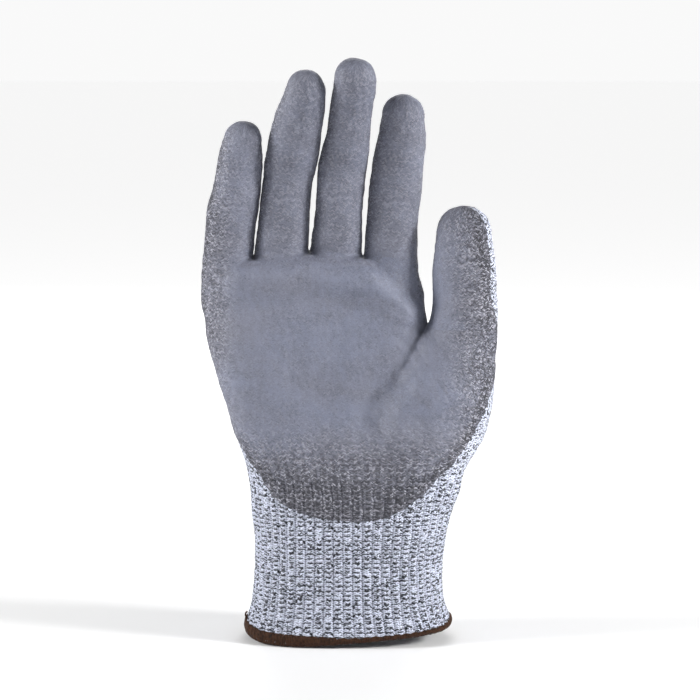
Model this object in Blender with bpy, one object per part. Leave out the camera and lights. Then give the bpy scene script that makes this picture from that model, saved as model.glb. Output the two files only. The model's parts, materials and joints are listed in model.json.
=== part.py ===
"""A seamless-knitted, palm-coated cut-resistant work glove for the right hand, size L.

The glove stands on its hem with the fingers up and the palm facing -Y, as if a relaxed hand were in it.
Every knitted section is a thin hollow tube, open where the hand goes in. The coating is a separate skin
outside the knit. Fingers and thumb are cut into sections at the knuckles, with rims that slope away on the
side that closes, so that each section can turn about its knuckle.

Lengths are in millimetres until a mesh is made, and angles are in degrees.
"""

import math
from dataclasses import dataclass

import bmesh
import bpy
from mathutils import Matrix, Vector

MM = 0.001

# Walls and gaps
KNIT_WALL = 1.3
HEM_WALL = 2.6
COAT_WALL = 0.5
FIT_GAP = 0.3
RIM_GAP = 0.35
SECTION_POWER = 2.5

# Facets
FINGER_SIDES = 16
HAND_SIDES = 32
YARN_POINTS = 30

# The middle of the object's box lies over the origin
ORIGIN_SHIFT = Vector((-0.63, 3.62, 0.0))

# Cuff and hem, as (height, left, right, half depth, middle depth)
HEM_HEIGHT = 5.5
HEM_RINGS = (
    (0.0, -44.6, 45.0, 28.0, 0.0),
    (HEM_HEIGHT, -44.6, 45.0, 28.0, 0.0),
)
WRIST_HEIGHT = 61.0
CUFF_RINGS = (
    (HEM_HEIGHT + FIT_GAP, -43.4, 43.9, 27.2, 0.0),
    (7.0, -43.4, 43.9, 27.2, 0.0),
    (13.0, -40.6, 40.2, 25.8, 0.0),
    (34.0, -39.0, 38.2, 25.0, 0.0),
    (WRIST_HEIGHT, -40.2, 39.4, 24.4, 0.0),
)
WRIST_BEND = 20.0
YARN_RADIUS = 0.35
YARN_START = 15.0
YARN_PITCH = 5.0
YARN_TURNS = 8
TAIL_RADIUS = 0.5

# Hand sections, as the cuff's
LOWER_TOP = 118.0
LOWER_RINGS = (
    (WRIST_HEIGHT, -40.2, 39.4, 24.4, 0.0),
    (75.0, -43.4, 42.8, 23.0, -1.0),
    (91.0, -48.2, 50.2, 21.6, -2.0),
    (105.0, -52.6, 57.0, 20.4, -3.0),
    (LOWER_TOP, -56.4, 61.0, 19.2, -3.5),
)
UPPER_RINGS = (
    (LOWER_TOP + FIT_GAP, -56.6, 33.8, 19.0, -3.0),
    (130.0, -58.8, 33.2, 17.4, -2.4),
    (145.0, -59.8, 31.2, 16.0, -1.8),
    (158.0, -59.6, 29.6, 14.8, -1.4),
)
KNUCKLE_DROP = 2.0
COAT_FRONT = -2.5
COAT_ARC_MIDDLE = Vector((2.0, 0.0, 128.0))
COAT_ARC_RADIUS = 60.0

# Knuckles: how far each bends on from rest, towards the palm
BASE_BEND = 55.0
MIDDLE_BEND = 55.0
TIP_BEND = 36.0
THUMB_SWING = 40.0
THUMB_OPEN = 10.0
THUMB_BEND = 25.0

DEPTH_TO_WIDTH = 0.95
DOME_ANGLES = (22.0, 44.0, 62.0, 78.0)
CAP_BACK_LENGTH = 14.0
CAP_SLOPE = 55.0


@dataclass(frozen=True)
class Digit:
    """A finger or thumb: where it starts, how it stands and how long and wide its sections are."""

    name: str
    sections: tuple
    start: tuple
    lean: float
    bends: tuple
    lengths: tuple
    half_widths: tuple
    opens: tuple
    closes: tuple
    turns: tuple = (0.0, 0.0, 0.0)
    coat_turn: float = 0.0
    coat_edge: float = 0.6


SECTIONS = ("base", "middle", "tip")
FINGER_CLOSES = (BASE_BEND, MIDDLE_BEND, TIP_BEND)
FINGERS = (
    Digit("little", SECTIONS, (-49.3, -1.5, 157.0), 7.8, (8, 16, 26), (26, 18.5, 18),
          (9.7, 9.0, 8.5, 7.6), (0, 0, 0), FINGER_CLOSES),
    Digit("ring", SECTIONS, (-27.3, -1.5, 159.5), 8.2, (9, 23, 33), (37, 27, 21),
          (10.6, 10.2, 9.6, 8.6), (0, 0, 0), FINGER_CLOSES),
    Digit("middle", SECTIONS, (-4.6, -1.5, 160.5), 5.6, (10, 24, 34), (39, 28, 22),
          (10.6, 10.3, 9.8, 8.8), (0, 0, 0), FINGER_CLOSES),
    Digit("index", SECTIONS, (18.0, -1.5, 157.0), 4.0, (4, 12, 20), (32.5, 21.5, 18.5),
          (10.5, 10.3, 9.9, 8.9), (0, 0, 0), FINGER_CLOSES),
)
THUMB = Digit("thumb", ("base", "tip"), (48.3, -7.0, 122.5), 1.0, (0, 6), (29, 32),
              (12.6, 12.4, 9.4), (THUMB_OPEN, 0), (THUMB_SWING, THUMB_BEND), turns=(-15.0, -50.0),
              coat_turn=-75.0, coat_edge=3.0)


def rounded(vector, power):
    """A point of the unit circle pushed out towards the square, so that a section has flat front and back."""
    x, y = vector.x, vector.y
    grow = (abs(x) ** power + abs(y) ** power) ** (-1.0 / power)
    return Vector((x * grow, y * grow, 0.0))


def add_loop(bm, sides, half_x, half_y, middle, power=2.0):
    """One closed loop of a section, in the plane z = middle.z."""
    made = bmesh.ops.create_circle(bm, segments=sides, radius=1.0)["verts"]
    for vert in made:
        unit = rounded(vert.co, power)
        vert.co = Vector((unit.x * half_x, unit.y * half_y, 0.0)) + Vector(middle)
    return made


def edges_of(loop):
    """The edges that join the loop's own points."""
    points = set(loop)
    return list({edge for vert in loop for edge in vert.link_edges if edge.other_vert(vert) in points})


def loft(bm, loops):
    """Walls between loops that follow each other."""
    for low, high in zip(loops, loops[1:]):
        bmesh.ops.bridge_loops(bm, edges=edges_of(low) + edges_of(high))


def finish_mesh(bm, name):
    """The finished skin as a mesh in metres, facing outwards."""
    bmesh.ops.recalc_face_normals(bm, faces=bm.faces)
    bmesh.ops.scale(bm, vec=(MM, MM, MM), verts=bm.verts)
    mesh = bpy.data.meshes.new(name)
    bm.to_mesh(mesh)
    bm.free()
    mesh.shade_smooth()
    mesh.set_sharp_from_angle(angle=math.radians(40))
    return mesh


def give_wall(obj, wall, outwards):
    """Thickens a skin into a closed wall, to its inside or its outside."""
    solid = obj.modifiers.new("wall", "SOLIDIFY")
    solid.thickness = wall * MM
    solid.offset = 1.0 if outwards else -1.0
    solid.use_even_offset = True
    solid.use_rim = True


def material(name, colour, roughness, metallic=0.0):
    """A plain finish with one colour."""
    made = bpy.data.materials.new(name)
    made.use_nodes = True
    shader = made.node_tree.nodes["Principled BSDF"]
    shader.inputs["Base Color"].default_value = (*colour, 1.0)
    shader.inputs["Roughness"].default_value = roughness
    shader.inputs["Metallic"].default_value = metallic
    return made


def place(name, data, parent, frame, finish):
    """One named piece, standing in its parent at the frame given."""
    obj = bpy.data.objects.new(name, data)
    bpy.context.scene.collection.objects.link(obj)
    obj.parent = parent
    obj.matrix_local = frame
    data.materials.append(finish)
    return obj


def add_empty(name, parent, location):
    """A point that pieces hang on."""
    empty = bpy.data.objects.new(name, None)
    bpy.context.scene.collection.objects.link(empty)
    empty.parent = parent
    empty.location = Vector(location) * MM
    return empty


def slope(depth, back_angle, front_angle):
    """How far a rim keeps away from its hinge at a depth: front is the palm's side, below zero."""
    angle = front_angle if depth < 0 else back_angle
    return RIM_GAP + abs(depth) * math.tan(math.radians(angle))


def hand_loops(bm, rings, grow=0.0):
    """The loops of a wide section, each from (height, left, right, half depth, middle depth)."""
    loops = []
    for height, left, right, half_depth, depth in rings:
        half_x = (right - left) / 2 + grow
        middle = ((left + right) / 2, depth, height)
        loops.append(add_loop(bm, HAND_SIDES, half_x, half_depth + grow, middle, SECTION_POWER))
    return loops


def knuckle_height(x):
    """The height of the knuckle row over x, straight between the fingers' own knuckles."""
    row = [(digit.start[0], digit.start[2]) for digit in FINGERS]
    if x <= row[0][0]:
        return row[0][1]
    for (x0, z0), (x1, z1) in zip(row, row[1:]):
        if x <= x1:
            return z0 + (z1 - z0) * (x - x0) / (x1 - x0)
    return row[-1][1]


def shape_wrist(loop, side):
    """Slopes a rim away from the wrist's hinge, above it (side 1) or below it (side -1)."""
    for vert in loop:
        vert.co.z = WRIST_HEIGHT + side * slope(vert.co.y, WRIST_BEND / 2, WRIST_BEND / 2)


def shape_knuckles(loop):
    """Slopes the upper rim of the palm away from the knuckles on the palm's side."""
    front = (max(digit.bends[0] for digit in FINGERS) + BASE_BEND) / 2
    for vert in loop:
        depth = vert.co.y - FINGERS[0].start[1]
        vert.co.z = knuckle_height(vert.co.x) - KNUCKLE_DROP - slope(depth, 0.0, front)


def shape_thumb_seat(loop, rise):
    """Lifts the lower palm's rim to the thumb's hinge at the thumb, and slopes it away in front."""
    left = THUMB.start[0] - THUMB.half_widths[0]
    for vert in loop:
        depth = vert.co.y - THUMB.start[1]
        seat = THUMB.start[2] - KNUCKLE_DROP - slope(depth, THUMB_OPEN / 2, THUMB_SWING / 2)
        share = min(1.0, max(0.0, (vert.co.x - left + rise) / rise))
        vert.co.z += share * (seat - vert.co.z)


def knit_tube(name, rings, parent, frame, finish, wall=KNIT_WALL, shapes=()):
    """A knitted tube of the hand or cuff. Shapes are (loop number, function, arguments)."""
    bm = bmesh.new()
    loops = hand_loops(bm, rings)
    loft(bm, loops)
    for number, shaper, arguments in shapes:
        shaper(loops[number], *arguments)
    bmesh.ops.translate(bm, vec=-frame.translation / MM, verts=bm.verts)
    piece = place(name, finish_mesh(bm, name), parent, frame, finish)
    give_wall(piece, wall, outwards=False)
    return piece


def palm_skin(name, rings, parent, frame, finish, shapes=()):
    """The coating in front of a hand section: its front half, below which it ends in a round arc."""
    bm = bmesh.new()
    loops = hand_loops(bm, rings, grow=FIT_GAP)
    loft(bm, loops)
    for number, shaper, arguments in shapes:
        shaper(loops[number], *arguments)
    cut_off(bm, Vector((0, COAT_FRONT, 0)), Vector((0, 1, 0)))
    cut_round_edge(bm)
    bmesh.ops.translate(bm, vec=-frame.translation / MM, verts=bm.verts)
    piece = place(name, finish_mesh(bm, name), parent, frame, finish)
    give_wall(piece, COAT_WALL, outwards=True)
    return piece


def cut_off(bm, point, normal):
    """Removes what lies on the side that the normal points to."""
    whole = bm.verts[:] + bm.edges[:] + bm.faces[:]
    bmesh.ops.bisect_plane(bm, geom=whole, plane_co=point, plane_no=normal, clear_outer=True, dist=0.001)


def cut_round_edge(bm):
    """Trims the coating's lower edge to an arc, by straight cuts along its tangents."""
    for angle in (-60, -40, -20, 0, 20, 40, 60):
        turn = math.radians(angle)
        outward = Vector((math.sin(turn), 0.0, -math.cos(turn)))
        cut_off(bm, COAT_ARC_MIDDLE + outward * COAT_ARC_RADIUS, outward)


def digit_frames(digit):
    """Where each section starts and how it stands: X is the hinge, -Y the side that closes, Z along it."""
    frames = []
    start = Vector(digit.start)
    for turn, bend, length in zip(digit.turns, digit.bends, digit.lengths):
        turned = (
            Matrix.Rotation(math.radians(turn), 4, "Z")
            @ Matrix.Rotation(math.radians(digit.lean), 4, "Y")
            @ Matrix.Rotation(math.radians(bend), 4, "X")
        )
        frames.append(Matrix.Translation(start) @ turned)
        start = start + turned @ Vector((0, 0, length))
    return frames


def section_profile(digit, number, grow):
    """(height, half width) of each loop of a section, with a dome at the end of the last."""
    last = number == len(digit.lengths) - 1
    length = digit.lengths[number]
    wide, narrow = digit.half_widths[number], digit.half_widths[number + 1]
    stand = COAT_WALL + FIT_GAP - grow
    if not last:
        return [(length * share, wide + (narrow - wide) * share - stand) for share in (0.0, 0.5, 1.0)]
    dome = narrow * 1.1
    profile = [(0.0, wide - stand), (length - dome - stand, narrow - stand)]
    for angle in DOME_ANGLES:
        turn = math.radians(angle)
        height = length - stand - dome + dome * math.sin(turn)
        profile.append((height, (narrow - stand) * math.cos(turn)))
    return profile


def section_skin(digit, number, grow):
    """The open skin of one section, in its own frame, with rims that clear the hinges' whole travel."""
    bm = bmesh.new()
    profile = section_profile(digit, number, grow)
    loops = [
        add_loop(bm, FINGER_SIDES, half, half * DEPTH_TO_WIDTH, (0, 0, height)) for height, half in profile
    ]
    loft(bm, loops)
    for vert in loops[0]:
        vert.co.z = slope(vert.co.y, *rim_angles(digit, number))
    if number == len(digit.lengths) - 1:
        bmesh.ops.contextual_create(bm, geom=edges_of(loops[-1]))
    else:
        to_next = math.radians(digit.turns[number] - digit.turns[number + 1])
        for vert in loops[-1]:
            depth = vert.co.x * math.sin(to_next) + vert.co.y * math.cos(to_next)
            vert.co.z = digit.lengths[number] - slope(depth, *rim_angles(digit, number + 1))
    return bm


def rim_angles(digit, joint):
    """The slopes, behind and in front, of the two rims that meet at a joint: half the whole travel each."""
    rest = digit.bends[joint] - (digit.bends[joint - 1] if joint else 0)
    return digit.opens[joint] / 2, (rest + digit.closes[joint]) / 2


def knit_section(digit, number, parent, frame, finish):
    """A knitted tube section of a finger or thumb."""
    name = f"{digit.name}_{digit.sections[number]}_knit"
    piece = place(name, finish_mesh(section_skin(digit, number, 0.0), name), parent, frame, finish)
    give_wall(piece, KNIT_WALL, outwards=False)
    return piece


def coat_section(digit, number, parent, frame, finish):
    """The coating on a section: its closing side, and on the last section a cap over the whole tip."""
    name = f"{digit.name}_{digit.sections[number]}_coating"
    bm = section_skin(digit, number, FIT_GAP)
    turn = Matrix.Rotation(math.radians(digit.coat_turn - digit.turns[number]), 3, "Z")
    edge = Vector((0, digit.coat_edge, 0))
    if number < len(digit.lengths) - 1:
        cut_off(bm, turn @ edge, turn @ Vector((0, 1, 0)))
    else:
        back = digit.half_widths[-1] * DEPTH_TO_WIDTH
        rise = math.radians(CAP_SLOPE)
        normal = Vector((0, math.sin(rise), -math.cos(rise)))
        point = Vector((0, back, digit.lengths[number] - CAP_BACK_LENGTH))
        cut_off(bm, turn @ point, turn @ normal)
    piece = place(name, finish_mesh(bm, name), parent, frame, finish)
    give_wall(piece, COAT_WALL, outwards=True)
    return piece


def to_metres(frame):
    """The frame with its place in metres."""
    moved = frame.copy()
    moved.translation = frame.translation * MM
    return moved


def build_digit(digit, parent, knit, coat):
    """Every section of a finger or thumb, each with its origin on its own hinge."""
    for number, frame in enumerate(digit_frames(digit)):
        knit_section(digit, number, parent, to_metres(frame), knit)
        coat_section(digit, number, parent, to_metres(frame), coat)


def ring_at(rings, height):
    """The ring between two of the rings, at a height."""
    for low, high in zip(rings, rings[1:]):
        if low[0] <= height <= high[0]:
            share = (height - low[0]) / (high[0] - low[0])
            return tuple(a + (b - a) * share for a, b in zip(low, high))
    return rings[-1]


def spiral_inside(rings, shrink):
    """Points of the elastic yarn, which climbs round and round inside the cuff's wall."""
    points = []
    for step in range(YARN_POINTS * YARN_TURNS + 1):
        turns = step / YARN_POINTS
        height, left, right, half_depth, depth = ring_at(rings, YARN_START + turns * YARN_PITCH)
        turn = math.tau * turns
        unit = rounded(Vector((math.cos(turn), math.sin(turn), 0.0)), SECTION_POWER)
        x = (left + right) / 2 + unit.x * ((right - left) / 2 - shrink)
        points.append((x, depth + unit.y * (half_depth - shrink), height))
    return points


def round_thread(name, points, radius, sides, parent, finish):
    """A round thread along points, with closed ends."""
    curve = bpy.data.curves.new(name, "CURVE")
    curve.dimensions = "3D"
    curve.bevel_depth = radius * MM
    curve.bevel_resolution = sides
    curve.use_fill_caps = True
    spline = curve.splines.new("POLY")
    spline.points.add(len(points) - 1)
    for point, place_mm in zip(spline.points, points):
        point.co = (*(Vector(place_mm) * MM), 1.0)
    return place(name, curve, parent, Matrix.Identity(4), finish)


def build_cuff(parent, knit, elastic, thread):
    """The ribbed cuff with the elastic yarns inside it, and the overlocked hem with its thread end."""
    stay = Matrix.Identity(4)
    knit_tube("hem_overlock", HEM_RINGS, parent, stay, thread, HEM_WALL)
    knit_tube("cuff_knit", CUFF_RINGS, parent, stay, knit, shapes=[(-1, shape_wrist, (-1,))])
    shrink = KNIT_WALL + FIT_GAP + YARN_RADIUS * 1.5
    round_thread("cuff_elastic_yarn", spiral_inside(CUFF_RINGS, shrink), YARN_RADIUS, 0, parent, elastic)
    left, middle = HEM_RINGS[0][1], HEM_HEIGHT * 0.6
    tail = [(left - FIT_GAP, 0, middle), (left - 1.4, 0.4, middle + 0.3),
            (left - 2.4, 1.2, middle + 0.9), (left - 3.0, 2.4, middle + 1.6)]
    round_thread("overlock_tail", tail, TAIL_RADIUS, 1, parent, thread)


def build_palm(parent, knit, coat):
    """The knitted body of the hand in its two sections, and the coating in front of them."""
    wrist = Matrix.Translation(Vector((0, 0, WRIST_HEIGHT * MM)))
    lower = [(0, shape_wrist, (1,)), (-1, shape_thumb_seat, (6.0,))]
    knit_tube("lower_palm_knit", LOWER_RINGS, parent, wrist, knit, shapes=lower)
    knit_tube("upper_palm_knit", UPPER_RINGS, parent, wrist, knit, shapes=[(-1, shape_knuckles, ())])
    palm_skin("lower_palm_coating", LOWER_RINGS, parent, wrist, coat, shapes=lower)
    palm_skin("upper_palm_coating", UPPER_RINGS, parent, wrist, coat, shapes=[(-1, shape_knuckles, ())])


def main():
    """Clears the scene and builds the glove."""
    for obj in list(bpy.data.objects):
        bpy.data.objects.remove(obj)
    knit = material("heather_knit", (0.55, 0.57, 0.62), 0.9)
    coat = material("grey_coating", (0.28, 0.29, 0.33), 0.6)
    elastic = material("elastic_yarn", (0.75, 0.75, 0.76), 0.8)
    thread = material("brown_thread", (0.10, 0.045, 0.02), 0.85)
    glove = add_empty("glove_origin", None, ORIGIN_SHIFT)
    build_cuff(glove, knit, elastic, thread)
    build_palm(glove, knit, coat)
    for digit in (*FINGERS, THUMB):
        build_digit(digit, glove, knit, coat)


main()
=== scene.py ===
"""The look of a seamless-knitted, palm-coated work glove for the right hand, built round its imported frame.

The glove's outside is one smooth field: the body of the hand, the ball of the thumb and the five digits melt
into each other as they do in a knitted glove. A skin is laid over that field, cut into the pieces that move,
and given the thickness of the knit. The coating is a second skin over the first. Shapes are worked out in
millimetres in the frame's own axes, and become metres when a mesh is made: +Z runs from the cuff to the
fingertips, the palm faces -Y, and the thumb is at +X.
"""

import json
import logging
import math
from dataclasses import dataclass
from enum import Enum
from typing import Any, Callable, Sequence

import bpy
import numpy as np
from mathutils import Matrix, Vector

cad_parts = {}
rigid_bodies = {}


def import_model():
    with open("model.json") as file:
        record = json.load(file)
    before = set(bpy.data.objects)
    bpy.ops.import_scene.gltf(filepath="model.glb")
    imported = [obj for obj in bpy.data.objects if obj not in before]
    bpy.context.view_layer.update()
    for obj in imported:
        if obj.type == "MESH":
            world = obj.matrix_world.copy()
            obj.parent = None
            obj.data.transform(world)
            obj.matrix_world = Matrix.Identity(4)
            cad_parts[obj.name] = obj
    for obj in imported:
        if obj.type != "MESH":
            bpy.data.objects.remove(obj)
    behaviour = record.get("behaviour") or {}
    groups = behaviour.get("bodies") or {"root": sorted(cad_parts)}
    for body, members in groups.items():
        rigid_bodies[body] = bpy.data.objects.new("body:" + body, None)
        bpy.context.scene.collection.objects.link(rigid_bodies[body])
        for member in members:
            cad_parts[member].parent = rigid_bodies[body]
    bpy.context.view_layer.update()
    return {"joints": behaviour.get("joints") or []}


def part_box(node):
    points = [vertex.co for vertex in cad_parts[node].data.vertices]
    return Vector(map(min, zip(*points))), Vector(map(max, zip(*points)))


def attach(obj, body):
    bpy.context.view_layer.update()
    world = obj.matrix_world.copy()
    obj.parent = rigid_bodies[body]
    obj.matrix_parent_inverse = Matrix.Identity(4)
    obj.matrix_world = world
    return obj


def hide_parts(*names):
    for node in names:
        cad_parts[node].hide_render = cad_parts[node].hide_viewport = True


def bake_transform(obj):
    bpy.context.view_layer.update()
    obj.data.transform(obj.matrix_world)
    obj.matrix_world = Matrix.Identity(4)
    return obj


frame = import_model()

LOG = logging.getLogger("glove")
MM = 0.001
Array = np.ndarray
Settings = dict[Any, Any] | None

# How fine the skins are
PITCH = 0.85
FAR = 1000.0

# Knit gauge: stitches round the hand and round a finger, and the height of a course
HAND_WALES = 108
FINGER_WALES = 30
THUMB_WALES = 38
WALE = 2.07
COURSE = 1.05
KNIT_WALL = 1.2
COAT_THICKNESS = 0.32


class Slot(Enum):
    """The record's material slots."""

    KNIT = "heather_knit"
    COATING = "grey_coating"
    ELASTIC = "elastic_yarn"
    THREAD = "brown_thread"


# ---------------------------------------------------------------------------------------------- numbers


def smooth_step(values: Array, low: float, high: float) -> Array:
    """Rises smoothly from 0 at low to 1 at high."""
    share = np.clip((values - low) / (high - low), 0.0, 1.0)
    return share * share * (3.0 - 2.0 * share)


def smooth_least(first: Array, second: Array, reach: float) -> Array:
    """The smaller of two fields, with a fillet of the given reach where they meet."""
    share = np.clip(0.5 + 0.5 * (second - first) / reach, 0.0, 1.0)
    return second + (first - second) * share - reach * share * (1.0 - share)


def smooth_most(first: Array, second: Array, reach: float) -> Array:
    """The larger of two fields, rounded where they meet."""
    return -smooth_least(-first, -second, reach)


def unit(vectors: Array) -> Array:
    """The vectors at length 1."""
    length = np.sqrt((vectors * vectors).sum(-1, keepdims=True))
    return vectors / np.maximum(length, 1e-9)


def flowing(points: Sequence[Sequence[float]], at: Array, columns: int) -> Array:
    """Values read from a table of rows by their first column, without corners.

    Args:
        points: rows that start with the place along and go on with the values.
        at: the places to read.
        columns: how many values a row has.

    Returns:
        One row of values for each place.
    """
    table = np.array(points, float)
    dense = np.linspace(table[0, 0], table[-1, 0], 240)
    kernel = np.hanning(19)
    kernel /= kernel.sum()
    read = []
    for column in range(1, columns + 1):
        line = np.interp(dense, table[:, 0], table[:, column])
        padded = np.concatenate([2 * line[0] - line[9:0:-1], line, 2 * line[-1] - line[-2:-11:-1]])
        read.append(np.interp(at, dense, np.convolve(padded, kernel, "valid")))
    return np.stack(read, -1)


def ripple(points: Array, length: float, seed: int, waves: int = 10) -> Array:
    """Soft uneven swells between about -1 and 1, of the given length in millimetres."""
    rng = np.random.default_rng(seed)
    headings = unit(rng.normal(size=(waves, 3))) * (math.tau / length) * rng.uniform(0.7, 1.4, (waves, 1))
    phases = rng.uniform(0.0, math.tau, waves)
    return np.cos(points @ headings.T + phases).sum(1) / math.sqrt(waves)


# ---------------------------------------------------------------------------------------------- skeleton


@dataclass(frozen=True)
class Hinge:
    """One joint of the frame, in millimetres and degrees."""

    name: str
    parent: str
    child: str
    place: Array
    axis: Array
    low: float
    high: float


def read_hinges() -> dict[str, Hinge]:
    """The frame's joints by the body that they turn.

    Returns:
        A hinge for each body that moves.
    """
    found = {}
    for joint in frame["joints"]:
        place = np.array(joint["pos_m"], float) / MM
        low, high = joint["range_deg"]
        axis = np.array(joint["axis"], float)
        found[joint["child"]] = Hinge(joint["name"], joint["parent"], joint["child"], place, axis, low, high)
    return found


HINGES = read_hinges()
WRIST = HINGES["hand"].place
MIDDLE = np.array([WRIST[0], WRIST[1], 0.0])


def turned(vector: Array, axis: Array, degrees: float) -> Array:
    """The vector turned about an axis by the right-hand rule."""
    matrix = Matrix.Rotation(math.radians(degrees), 3, Vector(axis))
    return np.array(matrix @ Vector(vector))


# ---------------------------------------------------------------------------------------------- fields


class Tube:
    """A round, tapering limb along a bent centre line, closed by a dome at its end."""

    DOME = 1.08

    def __init__(self, line: Array, wide: Array, deep: Array, side: Array) -> None:
        """Args:
        line: points of the centre line.
        wide: half widths at the points.
        deep: half depths at the points.
        side: the direction of the widths.
        """
        self.line = line
        self.wide = wide
        self.deep = deep
        self.side = side
        steps = np.linalg.norm(np.diff(line, axis=0), axis=1)
        self.along = np.concatenate([[0.0], np.cumsum(steps)])
        reach = max(wide.max(), deep.max()) + 14.0
        self.low = line.min(0) - reach
        self.high = line.max(0) + reach

    def distance(self, points: Array) -> Array:
        """How far points lie outside the limb, below zero inside it."""
        result = np.full(len(points), FAR)
        near = np.nonzero(((points > self.low) & (points < self.high)).all(1))[0]
        if len(near):
            result[near] = self._measure(points[near])[0]
        return result

    def locate(self, points: Array) -> tuple[Array, Array, Array]:
        """Where points lie on the limb.

        Args:
            points: places near the limb.

        Returns:
            The distance along the centre line, the offset to the side and the offset to the back.
        """
        return self._measure(points)[1:]

    def _measure(self, points: Array) -> tuple[Array, Array, Array, Array]:
        """The field and the limb's own coordinates, from the nearest stretch of the centre line."""
        count = len(points)
        best = np.full(count, FAR)
        along, across, back = np.zeros(count), np.zeros(count), np.zeros(count)
        for number in range(len(self.line) - 1):
            start, step = self.line[number], self.line[number + 1] - self.line[number]
            length = np.linalg.norm(step)
            ahead = step / length
            depth_way = np.cross(ahead, self.side)
            depth_way /= np.linalg.norm(depth_way)
            offset = points - start
            share = np.clip(offset @ ahead / length, 0.0, 1.0)
            offset = offset - share[:, None] * step
            wide = self.wide[number] + (self.wide[number + 1] - self.wide[number]) * share
            deep = self.deep[number] + (self.deep[number + 1] - self.deep[number]) * share
            lateral, depth, over = offset @ self.side, offset @ depth_way, offset @ ahead
            spread = np.sqrt((lateral / wide) ** 2 + (depth / deep) ** 2 + (over / (wide * self.DOME)) ** 2)
            value = (spread - 1.0) * np.minimum(wide, deep)
            closer = value < best
            best[closer] = value[closer]
            along[closer] = (self.along[number] + share * length + over)[closer]
            across[closer], back[closer] = lateral[closer], depth[closer]
        return best, along, across, back


class Trunk:
    """The cuff and the flat body of the hand: rounded sections stacked up the glove."""

    POWER = 2.5
    # height, left, right, half depth in front, half depth behind, middle depth
    RINGS = (
        (-8.0, -46.0, 46.4, 28.4, 28.4, 0.0),
        (0.0, -45.2, 45.6, 28.0, 28.0, 0.0),
        (5.8, -43.4, 43.9, 27.2, 27.2, 0.0),
        (14.0, -40.6, 40.2, 25.8, 25.8, 0.0),
        (34.0, -38.8, 38.0, 25.0, 25.0, 0.0),
        (61.0, -40.2, 39.0, 24.4, 24.4, 0.0),
        (75.0, -43.2, 38.6, 22.4, 23.2, -0.8),
        (91.0, -48.0, 37.2, 20.4, 21.8, -1.4),
        (105.0, -52.6, 35.8, 19.0, 20.6, -1.8),
        (118.0, -56.4, 34.0, 18.0, 19.2, -2.0),
        (130.0, -58.8, 32.8, 17.0, 17.6, -1.8),
        (145.0, -59.9, 31.0, 15.8, 15.0, -1.6),
        (158.0, -59.6, 29.6, 14.2, 12.0, -1.5),
        (172.0, -59.0, 28.0, 12.0, 10.0, -1.5),
    )
    # the top of the hand between the fingers, over x
    TOP = ((-70.0, 154.0), (-39.9, 158.8), (-15.9, 161.6), (7.1, 159.2), (24.0, 153.0), (40.0, 147.0))

    def rays(self, level: Array, angle: Array) -> tuple[Array, Array]:
        """Level lines out of the trunk's middle.

        Args:
            level: the heights.
            angle: the angles in radians, from the back round by the thumb's side.

        Returns:
            Where each line starts and its direction, whose length reaches an even oval's edge.
        """
        rows = flowing(self.RINGS, level, 5)
        x, y = np.sin(angle), np.cos(angle)
        deep = np.where(y < 0, rows[:, 2], rows[:, 3])
        way = np.stack([x * (rows[:, 1] - rows[:, 0]) / 2, y * deep, 0 * level], -1)
        return np.stack([(rows[:, 0] + rows[:, 1]) / 2, rows[:, 4], level], -1) + MIDDLE, way

    def _scaled(self, points: Array) -> tuple[Array, Array, Array, Array]:
        """Points in units of their section's half sizes, and those half sizes."""
        row = flowing(self.RINGS, points[:, 2], 5)
        half = (row[:, 1] - row[:, 0]) / 2
        x = points[:, 0] - MIDDLE[0] - (row[:, 0] + row[:, 1]) / 2
        y = points[:, 1] - MIDDLE[1] - row[:, 4]
        deep = np.where(y < 0, row[:, 2], row[:, 3])
        return x / half, y / deep, half, deep

    def distance(self, points: Array) -> Array:
        """How far points lie outside the trunk, below zero inside it."""
        x, y, half, deep = self._scaled(points)
        x, y = np.abs(x) + 1e-6, np.abs(y) + 1e-6
        size = (x**self.POWER + y**self.POWER) ** (1.0 / self.POWER)
        lean = self.POWER - 1.0
        slope = np.hypot((x / size) ** lean / half, (y / size) ** lean / deep)
        table = np.array(self.TOP)
        top = np.interp(points[:, 0] - MIDDLE[0], table[:, 0], table[:, 1])
        return smooth_most((size - 1.0) / slope, points[:, 2] - top, 7.0)

    def angle(self, points: Array) -> Array:
        """The angle of each point round its section, from the back round by the thumb's side."""
        x, y, _, _ = self._scaled(points)
        return np.arctan2(x, y)


# ---------------------------------------------------------------------------------------------- digits


@dataclass(frozen=True)
class Cut:
    """A plane across the glove."""

    place: Array
    way: Array

    def above(self, points: Array) -> Array:
        """How far points lie beyond the plane."""
        return (points - self.place) @ self.way


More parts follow.
